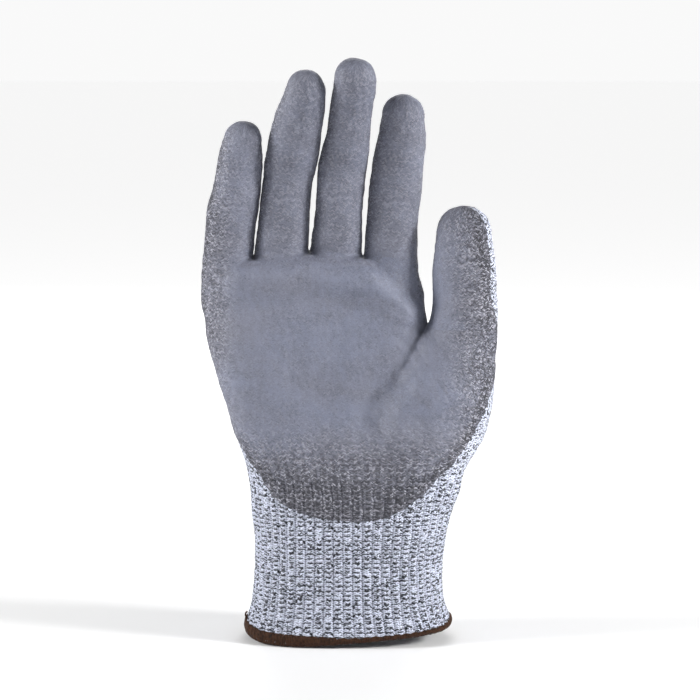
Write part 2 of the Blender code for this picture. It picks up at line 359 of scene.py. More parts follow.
@dataclass
class Digit:
    """A finger or thumb of the glove, whose bones come from the frame's joints.

    form gives the sleeve's height, middle and half width from its tip down, and tip is the height of its end.
    root_line is the line across the front of the hand above which the digit stands free, and zones are the
    half lengths of the stretches that bend at its second and third joint.
    """

    name: str
    parts: tuple[str, ...]
    form: tuple[tuple[float, float, float], ...]
    tip: float
    tip_length: float
    straight_at: float
    root_line: tuple[tuple[float, float], tuple[float, float]]
    zones: tuple[float, ...]
    wales: int = FINGER_WALES
    depth: float = 0.93
    root: float = 14.0

    def __post_init__(self) -> None:
        """Lays the bones through the joints and builds the limb round them."""
        hinges = [HINGES[f"{self.name}_{part}"] for part in self.parts]
        self.hinges = hinges
        places = [hinge.place for hinge in hinges]
        ahead = unit(places[-1] - places[-2])
        tip_way = turned(ahead, hinges[-1].axis, -self.straight_at)
        end = places[-1] + tip_way * self.tip_length
        self.ways = [unit(b - a) for a, b in zip(places, places[1:])] + [tip_way]
        self.side = hinges[0].axis * (1.0 if hinges[0].axis[0] > 0 else -1.0)
        bones = np.array([places[0] - self.ways[0] * self.root, *places, end])
        rows = np.array(self.form)[::-1]
        wide_end = rows[-1, 2] - COAT_THICKNESS
        low, high = bones[0, 2], self.tip - wide_end * Tube.DOME
        levels = np.linspace(low, high, int((high - low) / 3.2))
        depth_rows = [(z, y) for z, y in zip(bones[:, 2], bones[:, 1])]
        shape = flowing(rows, levels, 2)
        middle = flowing(depth_rows, levels, 1)[:, 0]
        line = np.stack([shape[:, 0] + MIDDLE[0], middle, levels], -1)
        wide = shape[:, 1] - COAT_THICKNESS
        self.tube = Tube(line, wide, wide * self.depth, self.side)
        self.length = self.tube.along[-1] + wide_end * Tube.DOME

    def root_cut(self) -> Cut:
        """The plane above which the digit stands free of its neighbours."""
        (x0, z0), (x1, z1) = self.root_line
        way = unit(np.array([z0 - z1, 0.0, x1 - x0]))
        return Cut(np.array([(x0 + x1) / 2, 0.0, (z0 + z1) / 2]) + MIDDLE, way)

    def bend_cut(self, joint: int) -> Cut:
        """The plane just before the stretch that bends at a later joint."""
        way = self.ways[joint - 1]
        return Cut(self.hinges[joint].place - way * (self.zones[joint - 1] + 0.5), way)

    def bend_span(self, joint: int) -> tuple[Array, Array]:
        """Where a joint's bend starts and ends, on its own centre line."""
        if joint:
            place, reach = self.hinges[joint].place, self.zones[joint - 1]
            return place - self.ways[joint - 1] * reach, place + self.ways[joint] * reach
        root = self.root_cut()
        length = self.bend_cut(1).above(self.hinges[0].place)
        rise = root.above(self.hinges[0].place)
        start = self.hinges[0].place - self.ways[0] * rise
        return start, start + root.way * (rise - length - 1.5)


def make_digits() -> list[Digit]:
    """The four fingers and the thumb, from the little finger to the thumb."""
    fingers = ("base", "middle", "tip")
    little = (
        (208.6, -42.9, 7.6), (200.0, -44.3, 9.2), (190.0, -46.1, 9.95), (180.0, -47.9, 10.3),
        (170.0, -49.4, 10.3), (160.0, -50.2, 10.3), (140.0, -50.8, 10.0),
    )
    ring = (
        (229.0, -17.2, 8.3), (220.0, -19.5, 10.0), (210.0, -22.0, 10.7), (200.0, -23.9, 10.7), (190.0, -25.1, 10.4),
        (180.0, -26.1, 10.6), (170.0, -27.3, 10.8), (160.0, -28.1, 10.9), (140.0, -28.4, 10.8),
    )
    middle = (
        (233.5, 2.8, 8.6), (225.0, 1.7, 8.8), (210.0, -0.2, 9.2), (200.0, -1.9, 9.7), (190.0, -3.4, 10.0),
        (180.0, -4.4, 10.0), (170.0, -4.9, 10.3), (160.0, -5.3, 10.5), (140.0, -5.6, 10.6),
    )
    index = (
        (217.7, 22.6, 8.9), (210.0, 22.0, 10.2), (200.0, 20.5, 10.6), (190.0, 19.4, 10.9), (180.0, 18.5, 11.0),
        (170.0, 18.0, 11.1), (160.0, 17.7, 11.2), (140.0, 17.4, 11.0),
    )
    thumb = (
        (169.6, 48.2, 11.6), (160.0, 48.3, 13.2), (150.0, 48.4, 13.8), (140.0, 48.4, 14.0),
        (130.0, 48.3, 13.9), (112.0, 46.6, 13.2),
    )
    roots = ((-60.0, 160.0), (-38.5, 161.2), (-15.7, 164.0), (6.9, 161.4), (30.0, 160.0))
    return [
        Digit("little", fingers, little, 216.8, 18.0, HINGES["little_tip"].low, roots[0:2], (8.0, 7.0)),
        Digit("ring", fingers, ring, 237.8, 21.0, HINGES["ring_tip"].low, roots[1:3], (11.0, 10.0)),
        Digit("middle", fingers, middle, 242.6, 22.0, HINGES["middle_tip"].low, roots[2:4], (11.0, 10.0)),
        Digit("index", fingers, index, 227.2, 18.5, HINGES["index_tip"].low, roots[3:5], (9.0, 8.0)),
        Digit(
            "thumb", ("base", "tip"), thumb, 182.0, 32.0, HINGES["thumb_tip"].high,
            ((33.0, 131.4), (62.0, 130.6)), (7.0,), THUMB_WALES, 0.86, 4.0,
        ),
    ]


class Body:
    """The whole glove's field: the trunk, the ball of the thumb and the digits."""

    # centre and radius of the ball of the thumb, from the wrist up to the thumb's own root
    BALL = (
        (19.0, -1.0, 52.0, 16.0),
        (23.5, -1.5, 66.0, 17.6),
        (28.5, -2.6, 80.0, 19.2),
        (34.5, -4.6, 95.0, 18.6),
        (41.6, -6.2, 106.0, 17.0),
        (46.6, -7.0, 114.0, 14.2),
    )
    SIDE = (1.0, 0.0, 0.0)
    FILLET_HEIGHTS = (90.0, 104.0, 117.0)
    FILLETS = (14.0, 8.0, 1.4)

    def __init__(self) -> None:
        """Builds every limb."""
        self.trunk = Trunk()
        self.digits = make_digits()
        ball = np.array(self.BALL)
        rows = flowing([(k, *row) for k, row in enumerate(self.BALL)], np.linspace(0, len(ball) - 1, 16), 4)
        self.ball = Tube(rows[:, :3] + MIDDLE, rows[:, 3], rows[:, 3], np.array(self.SIDE))

    def _fillet(self, points: Array) -> Array:
        """How softly the ball of the thumb runs into the hand, which ends at the thumb's crotch."""
        return np.interp(points[:, 2], self.FILLET_HEIGHTS, self.FILLETS)

    def hand(self, points: Array) -> Array:
        """The field of the hand without its digits."""
        return smooth_least(self.trunk.distance(points), self.ball.distance(points), self._fillet(points))

    def gusset(self, points: Array) -> Array:
        """The field of the hand with its thumb."""
        thumb = smooth_least(self.ball.distance(points), self.digits[-1].tube.distance(points), 5.0)
        return smooth_least(self.trunk.distance(points), thumb, self._fillet(points))

    def reached(self, field: Callable[[Array], Array], centre: Array, way: Array) -> Array:
        """Where lines out of the middle of the hand meet the skin of a field."""
        low, high = np.full(len(way), 0.2), np.full(len(way), 2.6)
        for _ in range(18):
            middle = (low + high) / 2
            out = field(centre + way * middle[:, None]) > 0
            high, low = np.where(out, middle, high), np.where(out, low, middle)
        return centre + way * high[:, None]

    def distances(self, points: Array) -> tuple[Array, Array]:
        """The field, and which digit is nearest, with -1 for the hand.

        Args:
            points: places in the frame.

        Returns:
            The distance of each point and the number of its digit.
        """
        trunk, ball = self.trunk.distance(points), self.ball.distance(points)
        fillet = self._fillet(points)
        hand = smooth_least(trunk, ball, fillet)
        total = hand.copy()
        owner = np.full(len(points), -1)
        nearest = np.full(len(points), FAR)
        for number, digit in enumerate(self.digits):
            own = digit.tube.distance(points)
            if digit.name == "thumb":
                joined = smooth_least(trunk, smooth_least(ball, own, 5.0), fillet)
            else:
                joined = smooth_least(hand, own, 3.6)
            total = smooth_least(total, joined, 0.3)
            closer = own < nearest
            if digit.name == "thumb":
                closer &= own < trunk
            nearest[closer] = own[closer]
            owner[closer & (own < 6.0)] = number
        return total, owner

    def distance(self, points: Array) -> Array:
        """The field alone."""
        return self.distances(points)[0]

    def owners(self, points: Array) -> tuple[Array, Array]:
        """Which digit each point belongs to, and how far above that digit's root it lies.

        Args:
            points: places on the glove.

        Returns:
            The digits' numbers, with -1 for the hand, and the heights, well below zero on the hand.
        """
        owner = self.distances(points)[1]
        above = np.full(len(points), -8.0)
        for number, digit in enumerate(self.digits):
            mine = owner == number
            above[mine] = np.maximum(digit.root_cut().above(points[mine]), -40.0)
        return owner, above

    def outward(self, points: Array, step: float = 0.3) -> Array:
        """The direction straight out of the glove at points on it."""
        shifts = np.eye(3) * step
        return unit(np.stack([self.distance(points + shift) - self.distance(points - shift) for shift in shifts], -1))


class StitchMap:
    """Counts the stitches over the glove: wales round it and courses up it."""

    CROTCH = 131.6
    LEVELS = np.concatenate([np.linspace(-2.0, CROTCH - 0.05, 34), np.linspace(CROTCH + 0.05, 148.0, 6)])
    ANGLES = np.linspace(-math.pi, math.pi, 361)
    QUARTER = HAND_WALES // 4
    HEIGHTS = (0.0, 60.0, 100.0, 260.0)
    COURSES = (0.0, 63.0, 98.0, 240.0)
    # from where up the thumb belongs to the girth, and where the count goes over to the sides' own
    JOINED_FROM = 100.0
    STRAIGHT_OVER = ((12.0, 30.0), (145.0, 134.0))
    THUMB_SIDE = 26.0
    GRAZING = 0.38
    STEEP, LEVEL = 0.75, 0.6
    # numbers that keep the webs' stitches apart from the others
    WEB_START = (60.0, 400.0)

    def __init__(self, body: Body) -> None:
        """Measures the girth of the cuff and the hand at every level."""
        self.trunk = body.trunk
        level, angle = np.repeat(self.LEVELS, len(self.ANGLES)), np.tile(self.ANGLES, len(self.LEVELS))
        centre, way = body.trunk.rays(level, angle)
        ring = body.reached(body.hand, centre, way)
        joined = (level > self.JOINED_FROM) & (level < self.CROTCH)
        ring[joined] = body.reached(body.gusset, centre[joined], way[joined])
        ring = ring.reshape(len(self.LEVELS), len(self.ANGLES), 3)
        steps = np.linalg.norm(np.diff(ring, axis=1), axis=2)
        self.arcs = np.concatenate([np.zeros((len(self.LEVELS), 1)), np.cumsum(steps, axis=1)], axis=1)

    def _arc(self, height: Array, angle: Array) -> Array:
        """How far round the hand an angle lies, in millimetres from the middle of the palm."""
        level = np.clip(np.interp(height, self.LEVELS, np.arange(len(self.LEVELS))), 0, len(self.LEVELS) - 1.001)
        column = np.clip((angle + math.pi) / math.tau, 0, 1) * (len(self.ANGLES) - 1.001)
        row, cell = level.astype(int), column.astype(int)
        part, share = column - cell, level - row
        mixed = [self.arcs[row + k, cell] * (1 - part) + self.arcs[row + k, cell + 1] * part for k in (0, 1)]
        return mixed[0] * (1 - share) + mixed[1] * share

    def round(self, points: Array) -> Array:
        """How many wales round the hand points lie, from the middle of the palm."""
        height, angle = points[:, 2], self.trunk.angle(points)
        turn = np.where(angle < 0, -math.pi, math.pi)
        behind = np.abs(angle) < math.pi / 2
        start = np.where(behind, 0.0, turn)
        away = self._arc(height, angle) - self._arc(height, start)
        quarter = np.abs(self._arc(height, turn / 2) - self._arc(height, start))
        loose = smooth_step(height, 78.0, 96.0)
        pitch = quarter / self.QUARTER * (1 - loose) + WALE * loose
        return away / pitch + np.where(behind, 2.0 * self.QUARTER, 0.0)

    def up(self, height: Array) -> Array:
        """How many courses up the glove a height lies."""
        return np.interp(height, self.HEIGHTS, self.COURSES)

    def facing(self, points: Array, outward: Array) -> Array:
        """Stitches counted straight over the side that a point faces, near the digits."""
        centre = self.trunk.rays(points[:, 2], np.zeros(len(points)))[0]
        x, y = (points - centre)[:, 0] / WALE, (points - centre)[:, 1] / WALE
        front = np.where(outward[:, 1] > 0, 2 * self.QUARTER + x, -x)
        edge = np.where(outward[:, 0] > 0, 3 * self.QUARTER - y, self.QUARTER + y)
        across = np.where(np.abs(outward[:, 0]) > self.STEEP, edge, front) % HAND_WALES
        level = np.stack([across, self.up(points[:, 2])], -1)
        web = np.stack([y + self.WEB_START[0], points[:, 0] / COURSE + self.WEB_START[1]], -1)
        return np.where(outward[:, 2:] > self.LEVEL, web, level)

    def placed(self, points: Array, outward: Array) -> Array:
        """Where points lie in stitches.

        Args:
            points: places on the glove's cuff or hand.
            outward: the way that the surface faces there.

        Returns:
            Stitches across and courses up.
        """
        place = points - MIDDLE
        centre, _ = self.trunk.rays(points[:, 2], np.zeros(len(points)))
        away = unit(points - centre)
        grazed = (np.abs((away * outward).sum(1)) < self.GRAZING) & (place[:, 0] > self.THUMB_SIDE)
        high = place[:, 2] > np.interp(place[:, 0], *self.STRAIGHT_OVER)
        webbed = (outward[:, 2] > self.LEVEL) | grazed
        near = high | (webbed & (place[:, 2] > self.JOINED_FROM))
        knit = np.stack([self.round(points), self.up(points[:, 2])], -1)
        return np.where(near[:, None], self.facing(points, outward), knit)

    def angles_at(self, height: float, wales: Array) -> Array:
        """The angles round the cuff at which stitches lie, at one height."""
        turn = self.ANGLES
        arc = self._arc(np.full(len(turn), height), turn)
        corners = np.interp((-math.pi, -math.pi / 2, 0.0, math.pi / 2, math.pi), turn, arc)
        count = np.interp(arc, corners, np.arange(5) * self.QUARTER)
        return np.interp(wales % HAND_WALES, count, turn)


# ---------------------------------------------------------------------------------------------- skins


@dataclass
class Skin:
    """A triangle mesh in millimetres, with the direction out of the glove at each point."""

    points: Array
    outward: Array
    triangles: Array

    def keep(self, values: Array) -> "Skin":
        """The part where the values are above zero, cut cleanly along the line where they are zero.

        Args:
            values: a number for each point.

        Returns:
            The part that is kept, with new points on the cut.
        """
        values = np.where(np.abs(values) < 1e-6, 1e-6, values)
        inside = values > 0
        hits = inside[self.triangles].sum(1)
        whole = self.triangles[hits == 3]
        mixed = self.triangles[(hits == 1) | (hits == 2)]
        if not len(mixed):
            return Skin(self.points, self.outward, whole).compact()
        lone = np.where(inside[mixed].sum(1) == 1, 1, 0)
        odd = np.argmax(inside[mixed] == lone[:, None].astype(bool), axis=1)
        rolled = np.stack([mixed[np.arange(len(mixed)), (odd + k) % 3] for k in range(3)], -1)
        edges = np.concatenate([rolled[:, [0, 1]], rolled[:, [0, 2]]])
        ordered = np.sort(edges, axis=1)
        unique, back = np.unique(ordered, axis=0, return_inverse=True)
        back = back.ravel()
        first, second = values[unique[:, 0]], values[unique[:, 1]]
        share = np.clip(first / (first - second), 0.02, 0.98)[:, None]
        places = self.points[unique[:, 0]] * (1 - share) + self.points[unique[:, 1]] * share
        ways = unit(self.outward[unique[:, 0]] * (1 - share) + self.outward[unique[:, 1]] * share)
        base, count = len(self.points), len(mixed)
        near, far = base + back[:count], base + back[count:]
        single = lone == 1
        corner = np.stack([rolled[:, 0], near, far], -1)[single]
        quads = np.stack([near, rolled[:, 1], rolled[:, 2], far], -1)[~single]
        parts = [whole, corner, quads[:, [0, 1, 2]], quads[:, [0, 2, 3]]]
        points = np.concatenate([self.points, places])
        outward = np.concatenate([self.outward, ways])
        return Skin(points, outward, np.concatenate(parts)).compact()

    def compact(self) -> "Skin":
        """The same skin without unused points."""
        used = np.unique(self.triangles)
        number = np.full(len(self.points), -1)
        number[used] = np.arange(len(used))
        return Skin(self.points[used], self.outward[used], number[self.triangles])

    def rim(self) -> Array:
        """The border's edges, each in its triangle's order."""
        edges = np.concatenate([self.triangles[:, [0, 1]], self.triangles[:, [1, 2]], self.triangles[:, [2, 0]]])
        keys = np.sort(edges, axis=1)
        _, first, counts = np.unique(keys, axis=0, return_index=True, return_counts=True)
        return edges[first[counts == 1]]

    def walled(self, outer: Array, inner: Array) -> "Skin":
        """A closed wall whose two faces lie at the given distances out of this skin.

        Args:
            outer: how far out the outer face lies at each point.
            inner: how far out the inner face lies, which is less.

        Returns:
            The wall, with the outer face's points first and the inner face's after them.
        """
        count = len(self.points)
        points = np.concatenate([self.points + self.outward * out[:, None] for out in (outer, inner)])
        outward = np.concatenate([self.outward, -self.outward])
        rim = self.rim()
        low, high = rim[:, 0], rim[:, 1]
        sides = [np.stack([high, low, low + count], -1), np.stack([high, low + count, high + count], -1)]
        faces = np.concatenate([self.triangles, self.triangles[:, ::-1] + count, *sides])
        return Skin(points, outward, faces)


def lay_net(field: Callable[[Array], Array], low: Array, high: Array, pitch: float) -> tuple[Array, Array]:
    """A net of four-sided meshes over the zero surface of a field.

    Args:
        field: the distance out of the body at points.
        low: the lowest corner of the space to cover.
        high: the highest corner.
        pitch: the size of a mesh.

    Returns:
        The net's points and its four-sided faces, facing out.
    """
    axes = [np.arange(low[k], high[k] + pitch, pitch) for k in range(3)]
    shape = tuple(len(axis) for axis in axes)
    values = np.empty(shape, np.float32)
    for layer in range(shape[2]):
        x, y = np.meshgrid(axes[0], axes[1], indexing="ij")
        plane = np.stack([x.ravel(), y.ravel(), np.full(x.size, axes[2][layer])], -1)
        values[:, :, layer] = field(plane).reshape(shape[:2])
    cells = tuple(n - 1 for n in shape)
    total = np.zeros((*cells, 3), np.float32)
    count = np.zeros(cells, np.float32)
    corners = [(i, j, k) for i in (0, 1) for j in (0, 1) for k in (0, 1)]

    def corner(offset: tuple[int, int, int]) -> Array:
        return values[tuple(slice(o, o + n) for o, n in zip(offset, cells))]

    for start in corners:
        for way in range(3):
            if start[way]:
                continue
            stop = tuple(o + (k == way) for k, o in enumerate(start))
            first, second = corner(start), corner(stop)
            crossed = (first < 0) != (second < 0)
            share = np.where(crossed, first / np.where(crossed, first - second, 1.0), 0.0)
            for k in range(3):
                total[..., k] += np.where(crossed, start[k] + (share if k == way else 0.0), 0.0)
            count += crossed
    used = count > 0
    number = np.full(cells, -1, np.int64)
    number[used] = np.arange(used.sum())
    index = np.stack(np.nonzero(used), -1)
    points = np.array(low) + (index + total[used] / count[used][:, None]) * pitch
    faces = []
    for way in range(3):
        a, b = (way + 1) % 3, (way + 2) % 3
        here = [slice(0, n - 1) for n in shape]
        ahead = list(here)
        ahead[way] = slice(1, shape[way])
        first, second = values[tuple(here)], values[tuple(ahead)]
        edge = np.stack(np.nonzero((first < 0) != (second < 0)), -1)
        edge = edge[(edge[:, a] > 0) & (edge[:, b] > 0)]
        inner = values[tuple(edge.T)] < 0
        ring = []
        for da, db in ((1, 1), (0, 1), (0, 0), (1, 0)):
            cell = edge.copy()
            cell[:, a] -= da
            cell[:, b] -= db
            ring.append(number[tuple(cell.T)])
        quad = np.stack(ring, -1)
        quad[~inner] = quad[~inner][:, ::-1]
        faces.append(quad)
    return points, np.concatenate(faces)


def settle_net(points: Array, quads: Array, body: Body, rounds: int = 4) -> Array:
    """Evens out a net's points and pulls them onto the glove's surface.

    Args:
        points: the net's points.
        quads: its faces.
        body: the glove's field.
        rounds: how often to do so.

    Returns:
        The settled points.
    """
    edges = np.concatenate([quads[:, [0, 1]], quads[:, [1, 2]], quads[:, [2, 3]], quads[:, [3, 0]]])
    for _ in range(rounds):
        total = np.zeros_like(points)
        for way in range(3):
            total[:, way] = np.bincount(edges[:, 0], points[edges[:, 1], way], len(points))
            total[:, way] += np.bincount(edges[:, 1], points[edges[:, 0], way], len(points))
        count = np.bincount(edges.ravel(), minlength=len(points))
        middle = total / np.maximum(count, 1)[:, None]
        points = points + 0.6 * (middle - points)
        outward = body.outward(points)
        points = points - outward * body.distance(points)[:, None]
    return points


def body_skin(body: Body) -> Skin:
    """The smooth skin over the whole glove, before it is sculpted."""
    low, high = np.array([-68.0, -34.0, 60.0]), np.array([68.0, 28.0, 249.0])
    points, quads = lay_net(body.distance, low, high, PITCH)
    points = settle_net(points, quads, body)
    diagonal = np.linalg.norm(points[quads[:, 0]] - points[quads[:, 2]], axis=1)
    other = np.linalg.norm(points[quads[:, 1]] - points[quads[:, 3]], axis=1)
    short = (diagonal <= other)[:, None]
    first = np.where(short, quads[:, [0, 1, 2]], quads[:, [0, 1, 3]])
    second = np.where(short, quads[:, [0, 2, 3]], quads[:, [1, 2, 3]])
    return Skin(points, body.outward(points), np.concatenate([first, second]))


# ---------------------------------------------------------------------------------------------- sculpting


@dataclass(frozen=True)
class Fold:
    """A valley, or with a negative depth a ridge, along a line over the front or back of the hand."""

    line: tuple[tuple[float, float], ...]
    depth: float
    width: float
    front: bool = True

    def lift(self, points: Array, outward: Array) -> Array:
        """How far the fold moves each point out of the glove."""
        place = points[:, [0, 2]] - MIDDLE[[0, 2]]
        best = np.full(len(points), FAR)
        for start, stop in zip(np.array(self.line), np.array(self.line[1:])):
            step = stop - start
            share = np.clip((place - start) @ step / (step @ step), 0.0, 1.0)
            best = np.minimum(best, np.linalg.norm(place - start - share[:, None] * step, axis=1))
        facing = smooth_step(-outward[:, 1] if self.front else outward[:, 1], 0.15, 0.7)
        return -self.depth * np.exp(-((best / self.width) ** 2)) * facing


class Sculpt:
    """The soft swells, hollows and folds of a glove that a relaxed hand fills."""

    FOLDS = (
        # the hollow of the palm and the pads round it
        Fold(((-8.0, 110.0), (-2.0, 128.0)), 4.4, 17.0),
        Fold(((-40.0, 88.0), (-43.0, 122.0)), -1.9, 11.0),
        Fold(((24.0, 92.0), (38.0, 108.0)), -1.6, 11.0),
        Fold(((-44.0, 152.0), (-16.0, 154.0), (6.0, 150.0)), -1.7, 5.5),
        Fold(((-40.0, 140.0), (-12.0, 142.0), (10.0, 138.0)), 1.5, 6.5),
        # the crease that rounds the ball of the thumb
        Fold(((36.0, 124.0), (23.0, 117.0), (13.5, 106.0), (12.0, 94.0)), 1.9, 7.6),
        Fold(((30.0, 111.0), (22.0, 100.0), (21.0, 88.0)), -1.5, 5.0),
        # folds from the first finger's root towards the thumb
        Fold(((6.5, 158.0), (14.0, 148.0), (24.0, 138.0)), -1.7, 4.6),
        Fold(((11.5, 158.0), (18.0, 150.0), (27.0, 146.0)), 1.5, 4.2),
        Fold(((17.0, 141.0), (23.0, 137.0), (30.0, 136.0)), 0.45, 1.8),
        Fold(((15.0, 137.0), (22.0, 132.0), (31.0, 131.0)), 0.5, 1.8),
        Fold(((16.0, 132.0), (23.0, 126.0)), 0.4, 1.8),
        # the heel and the wrist
        Fold(((-34.0, 70.0), (-8.0, 64.0), (26.0, 68.0)), 0.7, 5.0),
        Fold(((-30.0, 96.0), (-22.0, 84.0), (-6.0, 80.0)), 0.5, 5.0),
        # the back: the dips between the knuckles
        Fold(((-38.5, 158.0), (-32.0, 128.0)), 0.9, 4.5, front=False),
        Fold(((-15.5, 161.0), (-12.0, 130.0)), 0.9, 4.5, front=False),
        Fold(((7.5, 158.0), (8.0, 130.0)), 0.9, 4.5, front=False),
        Fold(((30.0, 120.0), (26.0, 96.0)), 0.8, 7.0, front=False),
    )
    SWELL, SWELL_LENGTH = 0.34, 21.0
    RUMPLE, RUMPLE_LENGTH = 0.10, 6.5
    KNIT_GRAIN, GRAIN_LENGTH = 0.045, 2.4

    def lift(self, points: Array, outward: Array) -> Array:
        """How far out of the smooth body each point lies."""
        total = self.SWELL * ripple(points, self.SWELL_LENGTH, 3)
        total += self.RUMPLE * ripple(points, self.RUMPLE_LENGTH, 5, 16)
        total += self.KNIT_GRAIN * ripple(points, self.GRAIN_LENGTH, 8, 24)
        hand = smooth_step(points[:, 2], 168.0, 158.0)
        for fold in self.FOLDS:
            total += fold.lift(points, outward) * hand
        return total * smooth_step(points[:, 2], 8.0, 40.0)

    def shape(self, skin: Skin, extra: Callable[[Array], Array] | None = None) -> Skin:
        """The skin with its swells and folds, and the new directions out of it.

        Args:
            skin: a smooth skin.
            extra: a further lift for points, such as a rib.

        Returns:
            The sculpted skin.
        """
        step = 0.25

        def lift(points: Array) -> Array:
            total = self.lift(points, skin.outward)
            return total + extra(points) if extra else total

        first = unit(np.cross(skin.outward, np.array([0.31, 0.17, 0.93])))
        second = np.cross(skin.outward, first)
        here = lift(skin.points)
        outward = skin.outward
        for way in (first, second):
            slope = (lift(skin.points + way * step) - lift(skin.points - way * step)) / (2 * step)
            outward = outward - slope[:, None] * way
        return Skin(skin.points + skin.outward * here[:, None], unit(outward), skin.triangles)


# ---------------------------------------------------------------------------------------------- coating


class CoatLine:
    """Where the coating ends, as a number in millimetres that is above zero where the glove is coated."""

    # the lower edge in front of the heel of the hand, as height over x
    EDGE = (
        (-62.0, 97.0), (-51.0, 91.0), (-46.0, 84.0), (-41.9, 76.5), (-30.9, 60.5), (-16.0, 53.8),
        (-0.9, 51.8), (12.0, 52.6), (21.6, 55.9), (31.0, 62.6), (40.8, 72.0), (53.0, 88.5),
        (61.0, 106.0), (66.0, 132.0),
    )
    TIP_BACK = 12.0
    CREST = 4.0

    def __init__(self, body: Body) -> None:
        """Keeps the glove's field, whose limbs the line follows."""
        self.body = body

    def _hand(self, points: Array) -> Array:
        """The line over the hand: a round lower edge, and the two sides."""
        place = points - MIDDLE
        edge = flowing(self.EDGE, place[:, 0], 1)[:, 0]
        steep = (flowing(self.EDGE, place[:, 0] + 0.5, 1)[:, 0] - edge) / 0.5
        low = (place[:, 2] - edge) / np.hypot(1.0, steep)
        side = np.interp(place[:, 0], (-50.0, 24.0, 44.0), (4.5, -1.0, -4.5))
        near_crotch = smooth_step(place[:, 2], 108.0, 124.0) * smooth_step(place[:, 0], 52.0, 40.0)
        side = side * (1 - near_crotch) - 1.0 * near_crotch
        return smooth_least(low, side - place[:, 1], self.CREST)

    def _finger(self, digit: Digit, points: Array) -> Array:
        """The line along a finger: its sides, and an arch behind its tip."""
        along, across, back = digit.tube.locate(points)
        side = 1.6 + 0.16 * across - back
        cap = along - (digit.length - self.TIP_BACK)
        return smooth_most(side, cap, 5.0)

    def _thumb(self, digit: Digit, points: Array) -> Array:
        """The line round the thumb: knit shows only on its outer side and the lower part of its back."""
        along, across, back = digit.tube.locate(points)
        angle = np.degrees(np.arctan2(back, across))
        start = np.interp(along - digit.root, (-4.0, 24.0), (12.0, -20.0))
        stop = np.interp(along - digit.root, (2.0, 16.0, 34.0, 46.0, 56.0), (140.0, 118.0, 98.0, 76.0, 30.0))
        middle, half = (start + stop) / 2, (stop - start) / 2
        apart = np.abs((angle - middle + 180.0) % 360.0 - 180.0)
        radius = np.hypot(across, back)
        return np.radians(apart - half) * radius

    def value(self, points: Array) -> Array:
        """The line's number at each point of the smooth body.

        Args:
            points: places on the smooth body.

        Returns:
            The distance inside the coating, below zero outside it.
        """
        owner, above = self.body.owners(points)
        total = self._hand(points)
        for number, digit in enumerate(self.body.digits):
            mine = np.nonzero((owner == number) & (above > -14.0))[0]
            if not len(mine):
                continue
            thumb = digit.name == "thumb"
            own = (self._thumb if thumb else self._finger)(digit, points[mine])
            share = smooth_step(above[mine], -12.0 if thumb else -2.0, 8.0 if thumb else 6.0)
            total[mine] = total[mine] * (1 - share) + own * share
        return total + 0.22 * ripple(points, 2.3, 21, 14) + 0.25 * ripple(points, 9.0, 22)


# ---------------------------------------------------------------------------------------------- shader graphs


class Signal:
    """A number that a finish works out at every point of a surface. Python's operators join signals."""

    def __init__(self, graph: "Tree", socket: bpy.types.NodeSocket) -> None:
        """Keeps the graph and the socket that gives the number."""
        self.graph = graph
        self.socket = socket

    def _join(self, operation: str, *values: "Signal | float") -> "Signal":
        """A Math node on the values."""
        node = self.graph.node("ShaderNodeMath", {"operation": operation}, dict(enumerate(values)))
        return Signal(self.graph, node.outputs[0])

    def __add__(self, other: "Signal | float") -> "Signal":
        """The sum."""
        return self._join("ADD", self, other)

    __radd__ = __add__

    def __sub__(self, other: "Signal | float") -> "Signal":
        """The difference."""
        return self._join("SUBTRACT", self, other)

    def __rsub__(self, other: float) -> "Signal":
        """The number less this signal."""
        return self._join("SUBTRACT", other, self)

    def __mul__(self, other: "Signal | float") -> "Signal":
        """The product."""
        return self._join("MULTIPLY", self, other)

    __rmul__ = __mul__

    def __truediv__(self, other: "Signal | float") -> "Signal":
        """The quotient."""
        return self._join("DIVIDE", self, other)

    def __pow__(self, other: float) -> "Signal":
        """The power."""
        return self._join("POWER", self, other)

    def floor(self) -> "Signal":
        """The whole number below."""
        return self._join("FLOOR", self)

    def part(self) -> "Signal":
        """What is left over the whole number below."""
        return self._join("FRACT", self)

    def size(self) -> "Signal":
        """The number without its sign."""
        return self._join("ABSOLUTE", self)

    def cosine(self) -> "Signal":
        """The cosine of an angle in radians."""
        return self._join("COSINE", self)

    def least(self, other: "Signal | float") -> "Signal":
        """The smaller of two."""
        return self._join("MINIMUM", self, other)

    def most(self, other: "Signal | float") -> "Signal":
        """The larger of two."""
        return self._join("MAXIMUM", self, other)

    def between(self, low: float, high: float) -> "Signal":
        """Rises smoothly from 0 at low to 1 at high."""
        settings = {"interpolation_type": "SMOOTHSTEP", "clamp": True}
        node = self.graph.node("ShaderNodeMapRange", settings, {"Value": self, "From Min": low, "From Max": high})
        return Signal(self.graph, node.outputs["Result"])


class Tree:
    """A node tree that is built in the script."""

    def __init__(self, tree: bpy.types.NodeTree) -> None:
        """Empties the tree."""
        self.tree = tree
        self.tree.nodes.clear()

    def node(self, kind: str, settings: Settings = None, inputs: Settings = None) -> bpy.types.Node:
        """Adds a node.

        Args:
            kind: the node's type.
            settings: its properties, which are set first.
            inputs: a value, a signal or a socket for each input, by name or number.

        Returns:
            The node.
        """
        made = self.tree.nodes.new(kind)
        for key, value in (settings or {}).items():
            setattr(made, key, value)
        for key, value in (inputs or {}).items():
            if isinstance(value, Signal):
                value = value.socket
            if isinstance(value, bpy.types.NodeSocket):
                self.tree.links.new(value, made.inputs[key])
            else:
                made.inputs[key].default_value = value
        return made


